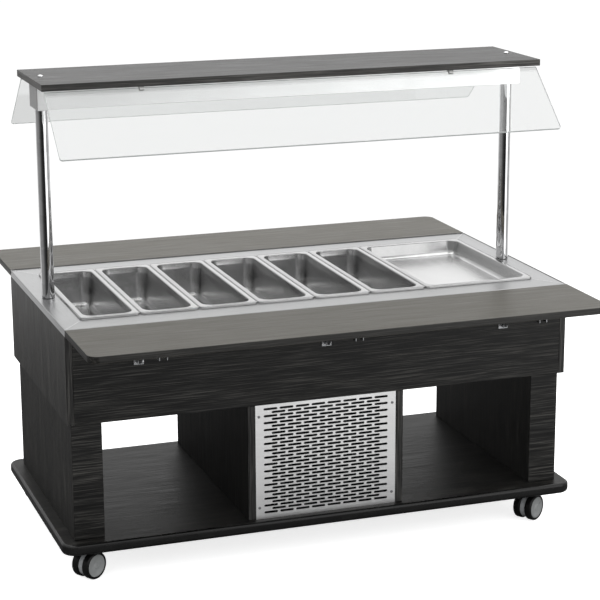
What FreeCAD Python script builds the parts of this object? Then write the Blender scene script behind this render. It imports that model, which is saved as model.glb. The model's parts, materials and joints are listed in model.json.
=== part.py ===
import FreeCAD, Part
import math
import os

Vector = FreeCAD.Vector

# Buffet trolley with a cooled well, two fold-down shelves and a lit canopy.
# Lengths in millimetres. X runs along the counter, -Y is the front, Z is up, the floor is z = 0.
# The origin is on the floor under the middle of the counter.

# Counter and cabinet
end_margin = 62.0        # counter beyond the row of pans at each end
side_margin = 85.0       # counter beyond the pans on each long side
top_fold = 18.0          # height of the steel top's folded rim
top_sheet = 1.5
body_height = 240.0      # cabinet between the steel top's rim and the pedestals
board = 18.0             # end panels and aprons
floor_board = 16.0

# Pedestals, machine housing and base plate
pedestal_height = 322.0
pedestal_width = 82.0
pedestal_end_inset = 12.0
pedestal_face_inset = 17.0
pedestal_wall = 16.0
housing_width = 448.0
housing_board = 22.0
base_margin = 25.0       # base plate beyond the counter all round
base_thickness = 30.0
base_corner = 38.0
base_edge_round = 9.0

# Castors with twin wheels
castor_height = 80.0
castor_end_inset = 94.0  # from the base plate's ends
castor_face_inset = 62.0
castor_heading = 212.0   # degrees from +X to the side that the wheels trail on
castor_trail = 22.0
wheel_diameter = 75.0
wheel_width = 21.0
wheel_shoulder = 4.0
hub_face_diameter = 60.0
hub_groove = 1.5
castor_web = 14.0        # thickness of the horn between the wheels
castor_web_gap = 1.0
castor_web_radius = 33.0
castor_flange_radius = 13.0
castor_flange = 2.5
castor_stem_radius = 6.0
axle_radius = 4.0
axle_end_wall = 4.0      # hub left outside the axle's end
castor_plate = 3.0
castor_plate_side = 58.0
running_gap = 0.05       # radial clearance of pins, stems and axles

# Gastronorm row: six narrow pans of half a module and one full tray
pan_count = 6
module_length = 530.0    # across the counter
module_width = 325.0     # along the counter
pan_depth = 100.0
tray_depth = 40.0
pan_sheet = 1.0
rim_gap = 0.3            # each rim stops short of its pitch by this much
rim_width = 14.0
rim_height = 5.0
rim_corner = 12.0
rim_bearing = 12.0       # rim that lies on the steel top
pan_corner = 26.0
pan_draft = 6.0          # the walls lean in by this much
pan_bottom_round = 12.0

# Cooled well below the pans
well_depth = 150.0
well_sheet = 1.5
well_side_gap = 2.0      # well wall behind the edge of the steel top's opening
well_corner = 20.0
well_flange = 16.0
insulation = 25.0

# Fold-down shelves
shelf_depth = 268.0
shelf_thickness = 18.0
shelf_corner = 28.0
shelf_gap = 2.0

# Folding brackets, three to a shelf
bracket_end_inset = 193.0  # outer brackets from the counter's ends
hinge_out = 12.0         # hinge pin in front of the apron
hinge_below = 12.0       # hinge pin below the shelf
link_drop = 68.0         # link pin below the hinge pin
link_reach = 80.0        # slide pin in front of the hinge pin
link_width = 12.0
link_thickness = 7.0
pin_radius = 3.0
bracket_sheet = 2.0
bracket_back = 2.5
cheek_gap = 0.5          # between an arm's walls and the cheeks outside them
arm_inside = 18.0        # clear width of the arm's channel
arm_web = 2.5
arm_root_radius = 8.0
arm_tip_height = 14.0
arm_setback = 22.0       # arm's end behind the shelf's outer edge
cheek_shelf_gap = 2.0    # between the hinge cheeks and the shelf
ear_gap = 0.5            # between the link and the ears beside it
slide_pin_gap = 0.5

# Canopy
post_height = 518.0
post_diameter = 35.0
post_wall = 1.5
post_box_inset = 21.0    # post's axis from the light box's end
rod_radius = 4.0
rod_gap = 0.5
rod_nut_radius = 8.0
rod_nut = 8.0
cap_radius = 7.5
cap_height = 5.0
light_box_end_inset = 10.0  # light box inside the canopy board's ends
light_box_width = 97.0
light_box_height = 66.0
light_box_sheet = 1.5
light_end_inset = 98.0   # lamp inside the light box's ends
light_side_inset = 19.5
light_depth = 8.0
light_flange = 4.0
light_flange_thickness = 2.0
canopy_end_inset = 4.0   # canopy board inside the counter's ends
canopy_width = 314.0
canopy_board = 18.0
glass_end_inset = 8.0    # panes inside the canopy board's ends
glass_width = 224.0
glass_thickness = 6.0
glass_tilt = 48.5        # degrees from upright
glass_edge_inset = 12.0  # pane's upper edge inside the canopy board's long side
glass_corner = 8.0
clamp_end_inset = 260.0  # clamps from the panes' ends
clamp_length = 14.0
clamp_grip = 8.0
clamp_cheek = 2.5
clamp_web = 3.0

# Grille in the housing's front, service panel in its rear
panel_sheet = 1.5
panel_setback = 1.0
panel_return = 15.0
slot_length = 39.0
slot_height = 5.6
slot_pitch = 45.5
slot_row_pitch = 9.75
slot_top_margin = 9.0
slot_bottom_margin = 12.0  # least plain strip below the slots
slot_side_margin = 20.0  # least plain strip beside the slots and vents
vent_length = 82.0
vent_pitch = 91.0
vent_rows = 10
vent_bottom_margin = 112.0

# Controls in the service panel
control_drop = 45.0      # centre of the controls below the panel's top
control_step = 90.0
thermostat_width = 78.0
thermostat_height = 36.0
thermostat_bezel = 4.0
thermostat_lap = 3.5
thermostat_body = 55.0
switch_width = 24.0
switch_height = 30.0
switch_bezel = 2.0
switch_lap = 2.5
switch_body = 22.0
rocker_width = 14.4
rocker_radius = 10.0
rocker_gap = 0.3
rocker_front = 4.2
rocker_waist = 2.6
rocker_back = 4.0
rocker_tilt = 8.0
rocker_pin_radius = 1.5
rocker_pin_length = 1.2
rocker_seat = 0.5        # rocker's axis behind the bezel's face
gland_radius = 12.0
gland_nut = 6.0
gland_dome = 14.0
gland_bore = 4.0
gland_thread = 8.0
gland_side = 52.0        # gland's axis from the housing's wall
gland_lift = 22.0        # gland's axis above the base plate
control_gap = 0.2        # cut-out round a fitting

# Cooling machine inside the housing
condenser_length = 300.0
condenser_depth = 45.0
condenser_height = 230.0
condenser_setback = 30.0  # behind the grille
condenser_foot = 20.0
fin_count = 24
fin_gap = 4.0
fin_cut = 14.0
shroud_depth = 34.0
shroud_sheet = 1.5
fan_radius = 98.0
fan_tip_gap = 6.0
fan_hub_radius = 25.0
fan_hub_length = 22.0
fan_blade_count = 5
fan_blade_chord = 44.0
fan_blade_thickness = 2.0
fan_blade_pitch = 28.0
fan_shaft_radius = 4.0
fan_shaft_length = 18.0
motor_radius = 38.0
motor_length = 55.0
motor_gap = 4.0          # between the fan's hub and the motor
motor_arm_width = 10.0
motor_arm_thickness = 3.0
compressor_x = -60.0
compressor_y = 130.0
compressor_radius = 76.0
compressor_height = 190.0
compressor_round = 44.0  # rounding of the pot's ends
compressor_plate = 3.0
compressor_foot_x = 70.0
compressor_foot_y = 52.0
compressor_foot_radius = 12.0
compressor_foot = 14.0
compressor_plate_margin = 20.0
terminal_box = 46.0
drain_side = 62.0        # drain's axis from the housing's wall
drain_edge = 55.0        # drain's axis from the well's long wall
drain_radius = 9.0
drain_wall = 1.5
drain_collar = 3.0
drain_collar_radius = 15.0
drain_drop = 340.0       # length of the drain below the well
drain_cap_radius = 12.5
drain_cap = 18.0
drain_gap = 1.0

# Levels and half sizes that follow from the sizes above
base_under = castor_height
base_top = base_under + base_thickness
body_under = base_top + pedestal_height
body_top = body_under + body_height
counter_top = body_top + top_fold
box_under = counter_top + post_height
canopy_under = box_under + light_box_height
canopy_top = canopy_under + canopy_board
pan_pitch = module_width / 2
pan_row = pan_count * pan_pitch + module_width
counter_length = pan_row + 2 * end_margin
counter_depth = module_length + 2 * side_margin
end_x = counter_length / 2
face_y = counter_depth / 2
bracket_x = end_x - bracket_end_inset
canopy_length = counter_length - 2 * canopy_end_inset
light_box_length = canopy_length - 2 * light_box_end_inset
light_length = light_box_length - 2 * light_end_inset
light_width = light_box_width - 2 * light_side_inset
post_x = light_box_length / 2 - post_box_inset
glass_length = canopy_length - 2 * glass_end_inset
glass_top_y = canopy_width / 2 - glass_edge_inset
clamp_x = glass_length / 2 - clamp_end_inset
housing_inner = housing_width / 2 - housing_board
opening_length = pan_row - 2 * rim_bearing
opening_width = module_length - 2 * rim_bearing
well_top = counter_top - top_sheet
well_under = well_top - well_depth
well_length = opening_length + 2 * well_side_gap
well_width = opening_width + 2 * well_side_gap
drain_x = housing_inner - drain_side
drain_y = well_width / 2 - drain_edge
shelf_under = counter_top - shelf_thickness
hinge_y = -(face_y + hinge_out)
hinge_z = shelf_under - hinge_below
shelf_inner_y = -(face_y + shelf_gap)
shelf_outer_y = shelf_inner_y - shelf_depth


def box(x0, x1, y0, y1, z0, z1):
    return Part.makeBox(x1 - x0, y1 - y0, z1 - z0, Vector(x0, y0, z0))


def plate(half_x, half_y, z0, z1):
    return box(-half_x, half_x, -half_y, half_y, z0, z1)


def rod(radius, start, axis, length):
    return Part.makeCylinder(radius, length, Vector(*start), Vector(*axis))


def fused(shapes):
    result = shapes[0].fuse(list(shapes[1:])) if len(shapes) > 1 else shapes[0]
    return result.removeSplitter()


def outline(length, width, radius, z):
    """Closed wire round a rectangle with rounded corners, centred on the Z axis."""
    a = length / 2
    b = width / 2
    edges = []
    centres = [(a - radius, b - radius), (-a + radius, b - radius),
               (-a + radius, -b + radius), (a - radius, -b + radius)]
    points = []
    for turn, (cx, cy) in enumerate(centres):
        for step in (0, 45, 90):
            angle = math.radians(90 * turn + step)
            points.append(Vector(cx + radius * math.cos(angle), cy + radius * math.sin(angle), z))
    for turn in range(4):
        start, middle, end = points[3 * turn:3 * turn + 3]
        edges.append(Part.Arc(start, middle, end).toShape())
        edges.append(Part.makeLine(end, points[(3 * turn + 3) % 12]))
    return Part.Wire(edges)


def rounded_block(length, width, radius, z0, z1):
    return Part.Face(outline(length, width, radius, z0)).extrude(Vector(0, 0, z1 - z0))


def side_profile(points, x0, x1):
    """Solid with the given outline in Y and Z, drawn out along X."""
    corners = [Vector(x0, y, z) for y, z in points]
    return Part.Face(Part.makePolygon(corners + corners[:1])).extrude(Vector(x1 - x0, 0, 0))


def revolved(section, axis):
    """Solid of revolution from points given as radius and place along the axis, which is Y or Z."""
    along = Vector(*axis)
    corners = [Vector(radius, 0, 0) + along * place for radius, place in section]
    return Part.Face(Part.makePolygon(corners + corners[:1])).revolve(Vector(0, 0, 0), along, 360)


def moved(shape, x=0.0, y=0.0, z=0.0):
    copy = shape.copy()
    copy.translate(Vector(x, y, z))
    return copy


def turned(shape, angle=180.0, axis=(0, 0, 1), centre=(0, 0, 0)):
    copy = shape.copy()
    copy.rotate(Vector(*centre), Vector(*axis), angle)
    return copy


def export(name, *solids):
    shape = solids[0] if len(solids) == 1 else Part.makeCompound(list(solids))
    shape.exportStep("parts/" + name + ".step")


# Base plate on its castors

def base_plate():
    blank = rounded_block(counter_length + 2 * base_margin, counter_depth + 2 * base_margin,
                          base_corner, base_under, base_top)
    rims = [edge for edge in blank.Edges
            if abs(edge.BoundBox.ZMax - edge.BoundBox.ZMin) < 1e-6]
    return blank.makeFillet(base_edge_round, rims)


def castor_places():
    x = end_x + base_margin - castor_end_inset
    y = face_y + base_margin - castor_face_inset
    return {"front_left": (-x, -y), "front_right": (x, -y), "rear_left": (-x, y), "rear_right": (x, y)}


def castor_mounting_plate(place):
    blank = plate(castor_plate_side / 2, castor_plate_side / 2, base_under - castor_plate, base_under)
    hole = rod(castor_stem_radius + running_gap, (0, 0, base_under - castor_plate), (0, 0, 1), castor_plate)
    return moved(blank.cut(hole), *place)


# A castor is drawn with its stem on the Z axis, its wheels trailing along +X and its axle along Y.
axle_height = wheel_diameter / 2
wheel_inner_y = castor_web / 2 + castor_web_gap
axle_half = wheel_inner_y + wheel_width - axle_end_wall


def set_castor(shape, place):
    return moved(turned(shape, castor_heading), *place)


def castor_horn():
    flange_top = base_under - castor_plate
    flange_under = flange_top - castor_flange
    half = castor_web / 2
    hood = rod(castor_web_radius, (castor_trail, -half, axle_height), (0, 1, 0), castor_web)
    neck = box(-castor_flange_radius, castor_trail, -half, half, axle_height, flange_under)
    flange = rod(castor_flange_radius, (0, 0, flange_under), (0, 0, 1), castor_flange)
    stem = rod(castor_stem_radius, (0, 0, flange_top), (0, 0, 1), castor_plate)
    axle = rod(axle_radius, (castor_trail, -axle_half, axle_height), (0, 1, 0), 2 * axle_half)
    return fused([hood, neck, flange, stem, axle])


def castor_wheel(side):
    """Wheel on the +Y or -Y side of the horn: tyre with rounded shoulders round a dished hub face."""
    radius = wheel_diameter / 2
    hub = hub_face_diameter / 2
    bore = axle_radius + running_gap
    end = wheel_width - axle_end_wall + running_gap
    section = [(0, end), (bore, end), (bore, 0), (radius, 0), (radius, wheel_width), (hub, wheel_width),
               (hub, wheel_width - hub_groove), (0, wheel_width - hub_groove / 2)]
    blank = revolved(section, (0, 1, 0))
    shoulders = [edge for edge in blank.Edges
                 if edge.BoundBox.YLength < 1e-6 and edge.BoundBox.XMax > radius - 1e-6]
    wheel = moved(blank.makeFillet(wheel_shoulder, shoulders), 0, wheel_inner_y)
    if side < 0:
        wheel = turned(wheel)
    return moved(wheel, castor_trail, 0, axle_height)


# Cabinet boards

def pedestal(side):
    outer_x = end_x - pedestal_end_inset
    centre = side * (outer_x - pedestal_width / 2)
    half_y = face_y - pedestal_face_inset
    shell = plate(pedestal_width / 2, half_y, base_top, body_under)
    core = plate(pedestal_width / 2 - pedestal_wall, half_y - pedestal_wall, base_top, body_under)
    return moved(shell.cut(core), centre)


def housing_side(side):
    centre = side * (housing_width - housing_board) / 2
    return moved(plate(housing_board / 2, face_y, base_top, body_under), centre)


def end_panel(side):
    return moved(plate(board / 2, face_y, body_under, body_top), side * (end_x - board / 2))


def front_apron():
    return box(-(end_x - board), end_x - board, -face_y, -face_y + board, body_under, body_top)


def body_floor():
    blank = plate(end_x - board, face_y - board, body_under, body_under + floor_board)
    hole = rod(drain_radius + drain_gap, (drain_x, drain_y, body_under), (0, 0, 1), floor_board)
    return blank.cut(hole)


# Steel top, cooled well and its insulation

def steel_top():
    rim = plate(end_x, face_y, body_top, counter_top)
    hollow = plate(end_x - top_sheet, face_y - top_sheet, body_top + top_sheet, counter_top - top_sheet)
    returns = plate(end_x - board, face_y - board, body_top, body_top + top_sheet)
    opening = rounded_block(opening_length, opening_width, well_corner - well_side_gap,
                            counter_top - top_sheet, counter_top)
    top = rim.cut([hollow, returns, opening])
    return top.cut([rod_hole(side, counter_top - top_sheet, top_sheet) for side in (-1, 1)])


def well_blank(grow, under, top):
    return rounded_block(well_length + 2 * grow, well_width + 2 * grow, well_corner + grow, under, top)


def well_tub():
    shell = well_blank(well_sheet, well_under, well_top)
    flange = well_blank(well_flange, well_top - well_sheet, well_top)
    inside = well_blank(0, well_under + well_sheet, well_top)
    drain = rod(drain_radius - drain_wall, (drain_x, drain_y, well_under), (0, 0, 1), well_sheet)
    return fused([shell, flange]).cut([inside, drain])


def well_insulation():
    jacket = well_blank(well_sheet + insulation, well_under - insulation, well_top - well_sheet)
    inside = well_blank(well_sheet, well_under, well_top - well_sheet)
    hole = rod(drain_collar_radius + drain_gap, (drain_x, drain_y, well_under - insulation), (0, 0, 1),
               insulation)
    return jacket.cut([inside, hole])


def drain_pipe():
    bottom = well_under - drain_drop
    pipe = rod(drain_radius, (drain_x, drain_y, bottom), (0, 0, 1), drain_drop)
    collar = rod(drain_collar_radius, (drain_x, drain_y, well_under - drain_collar), (0, 0, 1),
                 drain_collar)
    cap = rod(drain_cap_radius, (drain_x, drain_y, bottom), (0, 0, 1), drain_cap)
    bore = rod(drain_radius - drain_wall, (drain_x, drain_y, bottom + drain_wall), (0, 0, 1), drain_drop)
    return fused([pipe, collar, cap]).cut(bore)


# Gastronorm pans, hung by their rims

def tapered_block(half_x, half_y, low_half_x, low_half_y, depth):
    """Block from z = 0 down, with one half size at its top and another at its bottom."""
    wedge = Part.makeWedge(-half_x, 0, -half_y, -low_half_y, -low_half_x,
                           half_x, depth, half_y, low_half_y, low_half_x)
    return turned(wedge, -90, (1, 0, 0))


def drafted_bowl(length, width, depth, corner, bottom_round):
    """Block under z = 0 whose walls and rounded corners lean in, with a rounded bottom edge."""
    a = length / 2
    b = width / 2
    core_x = a - corner
    core_y = b - corner
    low_corner = corner - pan_draft
    pieces = [tapered_block(a, core_y, a - pan_draft, core_y, depth),
              tapered_block(core_x, b, core_x, b - pan_draft, depth)]
    for x in (-core_x, core_x):
        for y in (-core_y, core_y):
            pieces.append(Part.makeCone(low_corner, corner, depth, Vector(x, y, -depth)))
    block = fused(pieces)
    bottom_edges = [edge for edge in block.Edges if edge.BoundBox.ZMax < bottom_round / 2 - depth]
    return block.makeFillet(bottom_round, bottom_edges)


def gastronorm(pitch, depth, centre_x):
    """Pan or tray of pressed sheet, hung by a rim that is folded down all round."""
    length = pitch - 2 * rim_gap
    width = module_length - 2 * rim_gap
    mouth_x = length - 2 * rim_width
    mouth_y = width - 2 * rim_width
    rim = rounded_block(length, width, rim_corner, -rim_height, 0)
    under = rounded_block(length - 2 * pan_sheet, width - 2 * pan_sheet, rim_corner - pan_sheet,
                          -rim_height, -pan_sheet)
    outside = drafted_bowl(mouth_x + 2 * pan_sheet, mouth_y + 2 * pan_sheet, depth + pan_sheet,
                           pan_corner + pan_sheet, pan_bottom_round + pan_sheet)
    inside = drafted_bowl(mouth_x, mouth_y, depth, pan_corner, pan_bottom_round)
    pan = fused([rim.cut(under), outside]).cut(inside)
    return moved(pan, centre_x, 0, counter_top + rim_height)


# Shelves and their folding brackets, drawn for the front

def front_shelf():
    blank = box(-end_x, end_x, shelf_outer_y, shelf_inner_y, shelf_under, counter_top)
    corners = [edge for edge in blank.Edges
               if edge.BoundBox.ZLength > shelf_thickness / 2
               and edge.BoundBox.YMax < shelf_inner_y - shelf_depth / 2]
    return blank.makeFillet(shelf_corner, corners)


def from_hinge(points):
    """Points given as distance in front of the hinge pin and height above it, as Y and Z."""
    return [(hinge_y - out, hinge_z + up) for out, up in points]


def hinge_rod(radius, out, up, x0, x1):
    y, z = from_hinge([(out, up)])[0]
    return rod(radius, (x0, y, z), (1, 0, 0), x1 - x0)


arm_half = arm_inside / 2
arm_outer = arm_half + bracket_sheet
cheek_inner = arm_outer + cheek_gap
cheek_outer = cheek_inner + bracket_sheet
link_half = link_thickness / 2
ear_inner = link_half + ear_gap
ear_outer = ear_inner + bracket_sheet
cheek_radius = hinge_below - cheek_shelf_gap
link_length = math.hypot(link_reach, link_drop)


def bracket_wall_plate(x):
    """Wall plate with riveted pins: the hinge pin in outer cheeks, the link pin in inner ears below."""
    wall = -hinge_out
    foot = link_drop + link_width
    nose = cheek_radius / 2
    half = link_width / 2
    back_points = from_hinge([(wall, cheek_radius), (wall + bracket_back, cheek_radius),
                              (wall + bracket_back, -foot), (wall, -foot)])
    back = side_profile(back_points, -cheek_outer, cheek_outer)
    cheek_points = from_hinge([(wall, cheek_radius), (nose, cheek_radius), (cheek_radius, nose),
                               (cheek_radius, -nose), (nose, -cheek_radius), (wall, -cheek_radius)])
    ear_points = from_hinge([(wall, half - link_drop), (half, half - link_drop),
                             (half, -half - link_drop), (wall, -half - link_drop)])
    pin_seat = bracket_sheet / 2
    hinge_half = cheek_inner + pin_seat
    link_pin_half = ear_inner + pin_seat
    pieces = [back, hinge_rod(pin_radius, 0, 0, -hinge_half, hinge_half),
              hinge_rod(pin_radius, 0, -link_drop, -link_pin_half, link_pin_half)]
    for side in (-1, 1):
        inner, outer = sorted((side * cheek_inner, side * cheek_outer))
        pieces.append(side_profile(cheek_points, inner, outer))
        inner, outer = sorted((side * ear_inner, side * ear_outer))
        pieces.append(side_profile(ear_points, inner, outer))
    return moved(fused(pieces), x)


def shelf_arm(x):
    """Channel under the shelf, open downwards, that tapers to its tip and turns on the hinge pin."""
    tip = hinge_y - (shelf_outer_y + arm_setback)
    root = arm_root_radius
    wall_points = from_hinge([(-root, hinge_below), (tip, hinge_below), (tip, hinge_below - arm_tip_height),
                              (link_reach, -root), (0, -root), (-root, 0)])
    web = side_profile(from_hinge([(-root, hinge_below), (tip, hinge_below), (tip, hinge_below - arm_web),
                                   (-root, hinge_below - arm_web)]), -arm_outer, arm_outer)
    pieces = [web]
    for side in (-1, 1):
        inner, outer = sorted((side * arm_half, side * arm_outer))
        pieces.append(side_profile(wall_points, inner, outer))
        pieces.append(hinge_rod(root, 0, 0, inner, outer))
    hole = hinge_rod(pin_radius + running_gap, 0, 0, -arm_outer, arm_outer)
    return moved(fused(pieces).cut(hole), x)


def bracket_link(x):
    """Flat link from the wall plate's lower pin up to the slide pin inside the arm's channel."""
    rise = math.degrees(math.atan2(link_drop, link_reach))
    half = link_width / 2
    clip = half / 2
    level = -link_drop
    lying = side_profile(from_hinge([(-clip, level + half), (link_length + clip, level + half),
                                     (link_length + half, level + clip), (link_length + half, level - clip),
                                     (link_length + clip, level - half), (-clip, level - half),
                                     (-half, level - clip), (-half, level + clip)]), -link_half, link_half)
    y, z = from_hinge([(0, level)])[0]
    bar = turned(lying, -rise, (1, 0, 0), (0, y, z))
    pin_half = arm_half - slide_pin_gap
    slide_pin = hinge_rod(pin_radius, link_reach, 0, -pin_half, pin_half)
    hole = hinge_rod(pin_radius + running_gap, 0, level, -link_half, link_half)
    return moved(fused([bar, slide_pin]).cut(hole), x)


# Canopy on its two posts

def rod_hole(side, z, depth):
    return rod(rod_radius + rod_gap, (side * post_x, 0, z), (0, 0, 1), depth)


def post(side):
    tube = rod(post_diameter / 2, (side * post_x, 0, counter_top), (0, 0, 1), post_height)
    bore = rod(post_diameter / 2 - post_wall, (side * post_x, 0, counter_top), (0, 0, 1), post_height)
    return tube.cut(bore)


def tie_rod(side):
    """Rod that draws board, light box, post and steel top together: nut below, domed cap above."""
    nut_top = counter_top - top_sheet
    nut_under = nut_top - rod_nut
    nut = rod(rod_nut_radius, (0, 0, nut_under), (0, 0, 1), rod_nut)
    shank = rod(rod_radius, (0, 0, nut_top), (0, 0, 1), canopy_top - nut_top)
    dome_radius = (cap_radius ** 2 + cap_height ** 2) / (2 * cap_height)
    sunk = dome_radius - cap_height
    rim_angle = math.degrees(math.asin(sunk / dome_radius))
    cap = Part.makeSphere(dome_radius, Vector(0, 0, canopy_top - sunk), Vector(0, 0, 1), rim_angle, 90, 360)
    return moved(fused([nut, shank, cap]), side * post_x)


def light_box():
    outer = plate(light_box_length / 2, light_box_width / 2, box_under, canopy_under)
    inner = plate(light_box_length / 2 - light_box_sheet, light_box_width / 2 - light_box_sheet,
                  box_under + light_box_sheet, canopy_under - light_box_sheet)
    slot = plate(light_length / 2, light_width / 2, box_under, box_under + light_box_sheet)
    holes = [rod_hole(side, box_under, light_box_height) for side in (-1, 1)]
    return outer.cut([inner, slot] + holes)


def led_light():
    lens = plate(light_length / 2, light_width / 2, box_under, box_under + light_box_sheet + light_depth)
    seat = box_under + light_box_sheet
    flange = plate(light_length / 2 + light_flange, light_width / 2 + light_flange,
                   seat, seat + light_flange_thickness)
    return fused([lens, flange])


def canopy_top_board():
    blank = plate(canopy_length / 2, canopy_width / 2, canopy_under, canopy_top)
    return blank.cut([rod_hole(side, canopy_under, canopy_board) for side in (-1, 1)])


tilt_sin = math.sin(math.radians(glass_tilt))
tilt_cos = math.cos(math.radians(glass_tilt))
glass_top_z = canopy_under - clamp_web - glass_thickness / 2 * tilt_sin


def on_glass(along, off):
    """Y and Z of a point so far down the rear pane and so far outside its middle plane."""
    y = glass_top_y + along * tilt_sin + off * tilt_cos
    return (y, glass_top_z - along * tilt_cos + off * tilt_sin)


def rear_glass():
    half = glass_length / 2
    blank = box(-half, half, 0, glass_width, -glass_thickness / 2, glass_thickness / 2)
    corners = [edge for edge in blank.Edges
               if edge.BoundBox.ZLength > glass_thickness / 2 and edge.BoundBox.YMin > glass_width / 2]
    pane = blank.makeFillet(glass_corner, corners)
    return moved(turned(pane, glass_tilt - 90, (1, 0, 0)), 0, glass_top_y, glass_top_z)


def rear_glass_clamp(x):
    """Block under the board with a slot that grips the pane's upper edge."""
    half = glass_thickness / 2
    reach = half + clamp_cheek

    def at_board(off):
        return (glass_top_z + off * tilt_sin - canopy_under) / tilt_cos

    block = side_profile([on_glass(at_board(reach), reach), on_glass(clamp_grip, reach),
                          on_glass(clamp_grip, -reach), on_glass(at_board(-reach), -reach)],
                         x - clamp_length / 2, x + clamp_length / 2)
    slot = side_profile([on_glass(0, half), on_glass(clamp_grip, half),
                         on_glass(clamp_grip, -half), on_glass(0, -half)],
                        x - clamp_length / 2, x + clamp_length / 2)
    return block.cut(slot)


# Slotted grille and service panel, drawn in the housing's front opening

def panel_blank():
    front = -(face_y - panel_setback)
    pan = box(-housing_inner, housing_inner, front, front + panel_return, base_top, body_under)
    inside = housing_inner - panel_sheet
    return pan.cut(box(-inside, inside, front + panel_sheet, front + panel_return, base_top, body_under))


def panel_slot(x, z, length, height):
    front = -(face_y - panel_setback)
    return box(x - length / 2, x + length / 2, front, front + panel_sheet, z - height / 2, z + height / 2)


def pattern_count(space, pitch, size):
    """How many cuts of this size fit in the space at this pitch."""
    return int((space - size) / pitch) + 1


def front_grille():
    """Rows of slots set like bricks: every second row holds one slot less."""
    slots = []
    first = body_under - slot_top_margin - slot_height / 2
    height = pedestal_height - slot_top_margin - slot_bottom_margin
    rows = pattern_count(height, slot_row_pitch, slot_height)
    longest = pattern_count(2 * (housing_inner - slot_side_margin), slot_pitch, slot_length)
    for row in range(rows):
        count = longest - row % 2
        for column in range(count):
            x = (column - (count - 1) / 2) * slot_pitch
            slots.append(panel_slot(x, first - row * slot_row_pitch, slot_length, slot_height))
    return panel_blank().cut(Part.makeCompound(slots))


control_z = body_under - control_drop
thermostat_x = -control_step
switch_x = {"power": 0.0, "light": control_step}
panel_face = face_y - panel_setback
gland_x = gland_side - housing_inner


def service_panel():
    """Rear panel: controls along the top, long vents below them, a gland in one lower corner."""
    cuts = []
    first = base_top + vent_bottom_margin
    columns = pattern_count(2 * (housing_inner - slot_side_margin), vent_pitch, vent_length)
    for row in range(vent_rows):
        for column in range(columns):
            x = (column - (columns - 1) / 2) * vent_pitch
            cuts.append(panel_slot(x, first + row * slot_row_pitch, vent_length, slot_height))
    gap = 2 * control_gap
    cuts.append(panel_slot(-thermostat_x, control_z, thermostat_width - 2 * thermostat_lap + gap,
                           thermostat_height - 2 * thermostat_lap + gap))
    for x in switch_x.values():
        cuts.append(panel_slot(-x, control_z, switch_width - 2 * switch_lap + gap,
                               switch_height - 2 * switch_lap + gap))
    cuts.append(rod(gland_thread + control_gap, (-gland_x, -face_y, base_top + gland_lift), (0, 1, 0),
                    panel_return))
    return turned(panel_blank().cut(Part.makeCompound(cuts)))


def thermostat():
    bezel = box(-thermostat_width / 2, thermostat_width / 2, panel_face, panel_face + thermostat_bezel,
                -thermostat_height / 2, thermostat_height / 2)
    half_x = thermostat_width / 2 - thermostat_lap
    half_z = thermostat_height / 2 - thermostat_lap
    case = box(-half_x, half_x, panel_face - thermostat_body, panel_face, -half_z, half_z)
    return moved(fused([bezel, case]), thermostat_x, 0, control_z)


rocker_y = panel_face + switch_bezel - rocker_seat


def switch_frame(x):
    half_x = switch_width / 2
    half_z = switch_height / 2
    bezel = box(-half_x, half_x, panel_face, panel_face + switch_bezel, -half_z, half_z)
    case = box(switch_lap - half_x, half_x - switch_lap, panel_face - switch_body, panel_face,
               switch_lap - half_z, half_z - switch_lap)
    window_x = rocker_width / 2 + rocker_gap
    window_z = rocker_radius + rocker_gap
    window = box(-window_x, window_x, rocker_y - rocker_radius - rocker_gap, panel_face + switch_bezel,
                 -window_z, window_z)
    pin_half = rocker_width / 2 + rocker_pin_length + rocker_gap
    sockets = rod(rocker_pin_radius + running_gap, (-pin_half, rocker_y, 0), (1, 0, 0), 2 * pin_half)
    return moved(fused([bezel, case]).cut([window, sockets]), x, 0, control_z)


def rocker(x):
    """Rocker with a hollowed face, pressed at its top, on two short pins."""
    edge_z = math.sqrt(rocker_radius ** 2 - rocker_front ** 2)
    points = [(-rocker_back, -edge_z), (-rocker_back, edge_z), (rocker_front, edge_z),
              (rocker_waist, 0), (rocker_front, -edge_z)]
    body = side_profile(points, -rocker_width / 2, rocker_width / 2)
    pin_half = rocker_width / 2 + rocker_pin_length
    pins = rod(rocker_pin_radius, (-pin_half, 0, 0), (1, 0, 0), 2 * pin_half)
    return moved(turned(fused([body, pins]), rocker_tilt, (1, 0, 0)), x, rocker_y, control_z)


def cable_gland():
    section = [(gland_bore, -gland_nut - panel_sheet), (gland_radius, -gland_nut - panel_sheet),
               (gland_radius, -panel_sheet), (gland_thread, -panel_sheet), (gland_thread, 0),
               (gland_radius, 0), (gland_radius, gland_nut), (gland_thread, gland_dome),
               (gland_bore, gland_dome)]
    return moved(revolved(section, (0, 1, 0)), gland_x, panel_face, base_top + gland_lift)


# Cooling machine: condenser with its fan behind the grille, compressor behind the fan

condenser_front = -(face_y - panel_setback - panel_sheet) + condenser_setback
condenser_back = condenser_front + condenser_depth
shroud_back = condenser_back + shroud_depth
condenser_under = base_top + condenser_foot
fan_z = condenser_under + condenser_height / 2
fan_y = shroud_back - fan_hub_length / 2
motor_front = fan_y + fan_hub_length / 2 + motor_gap


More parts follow.
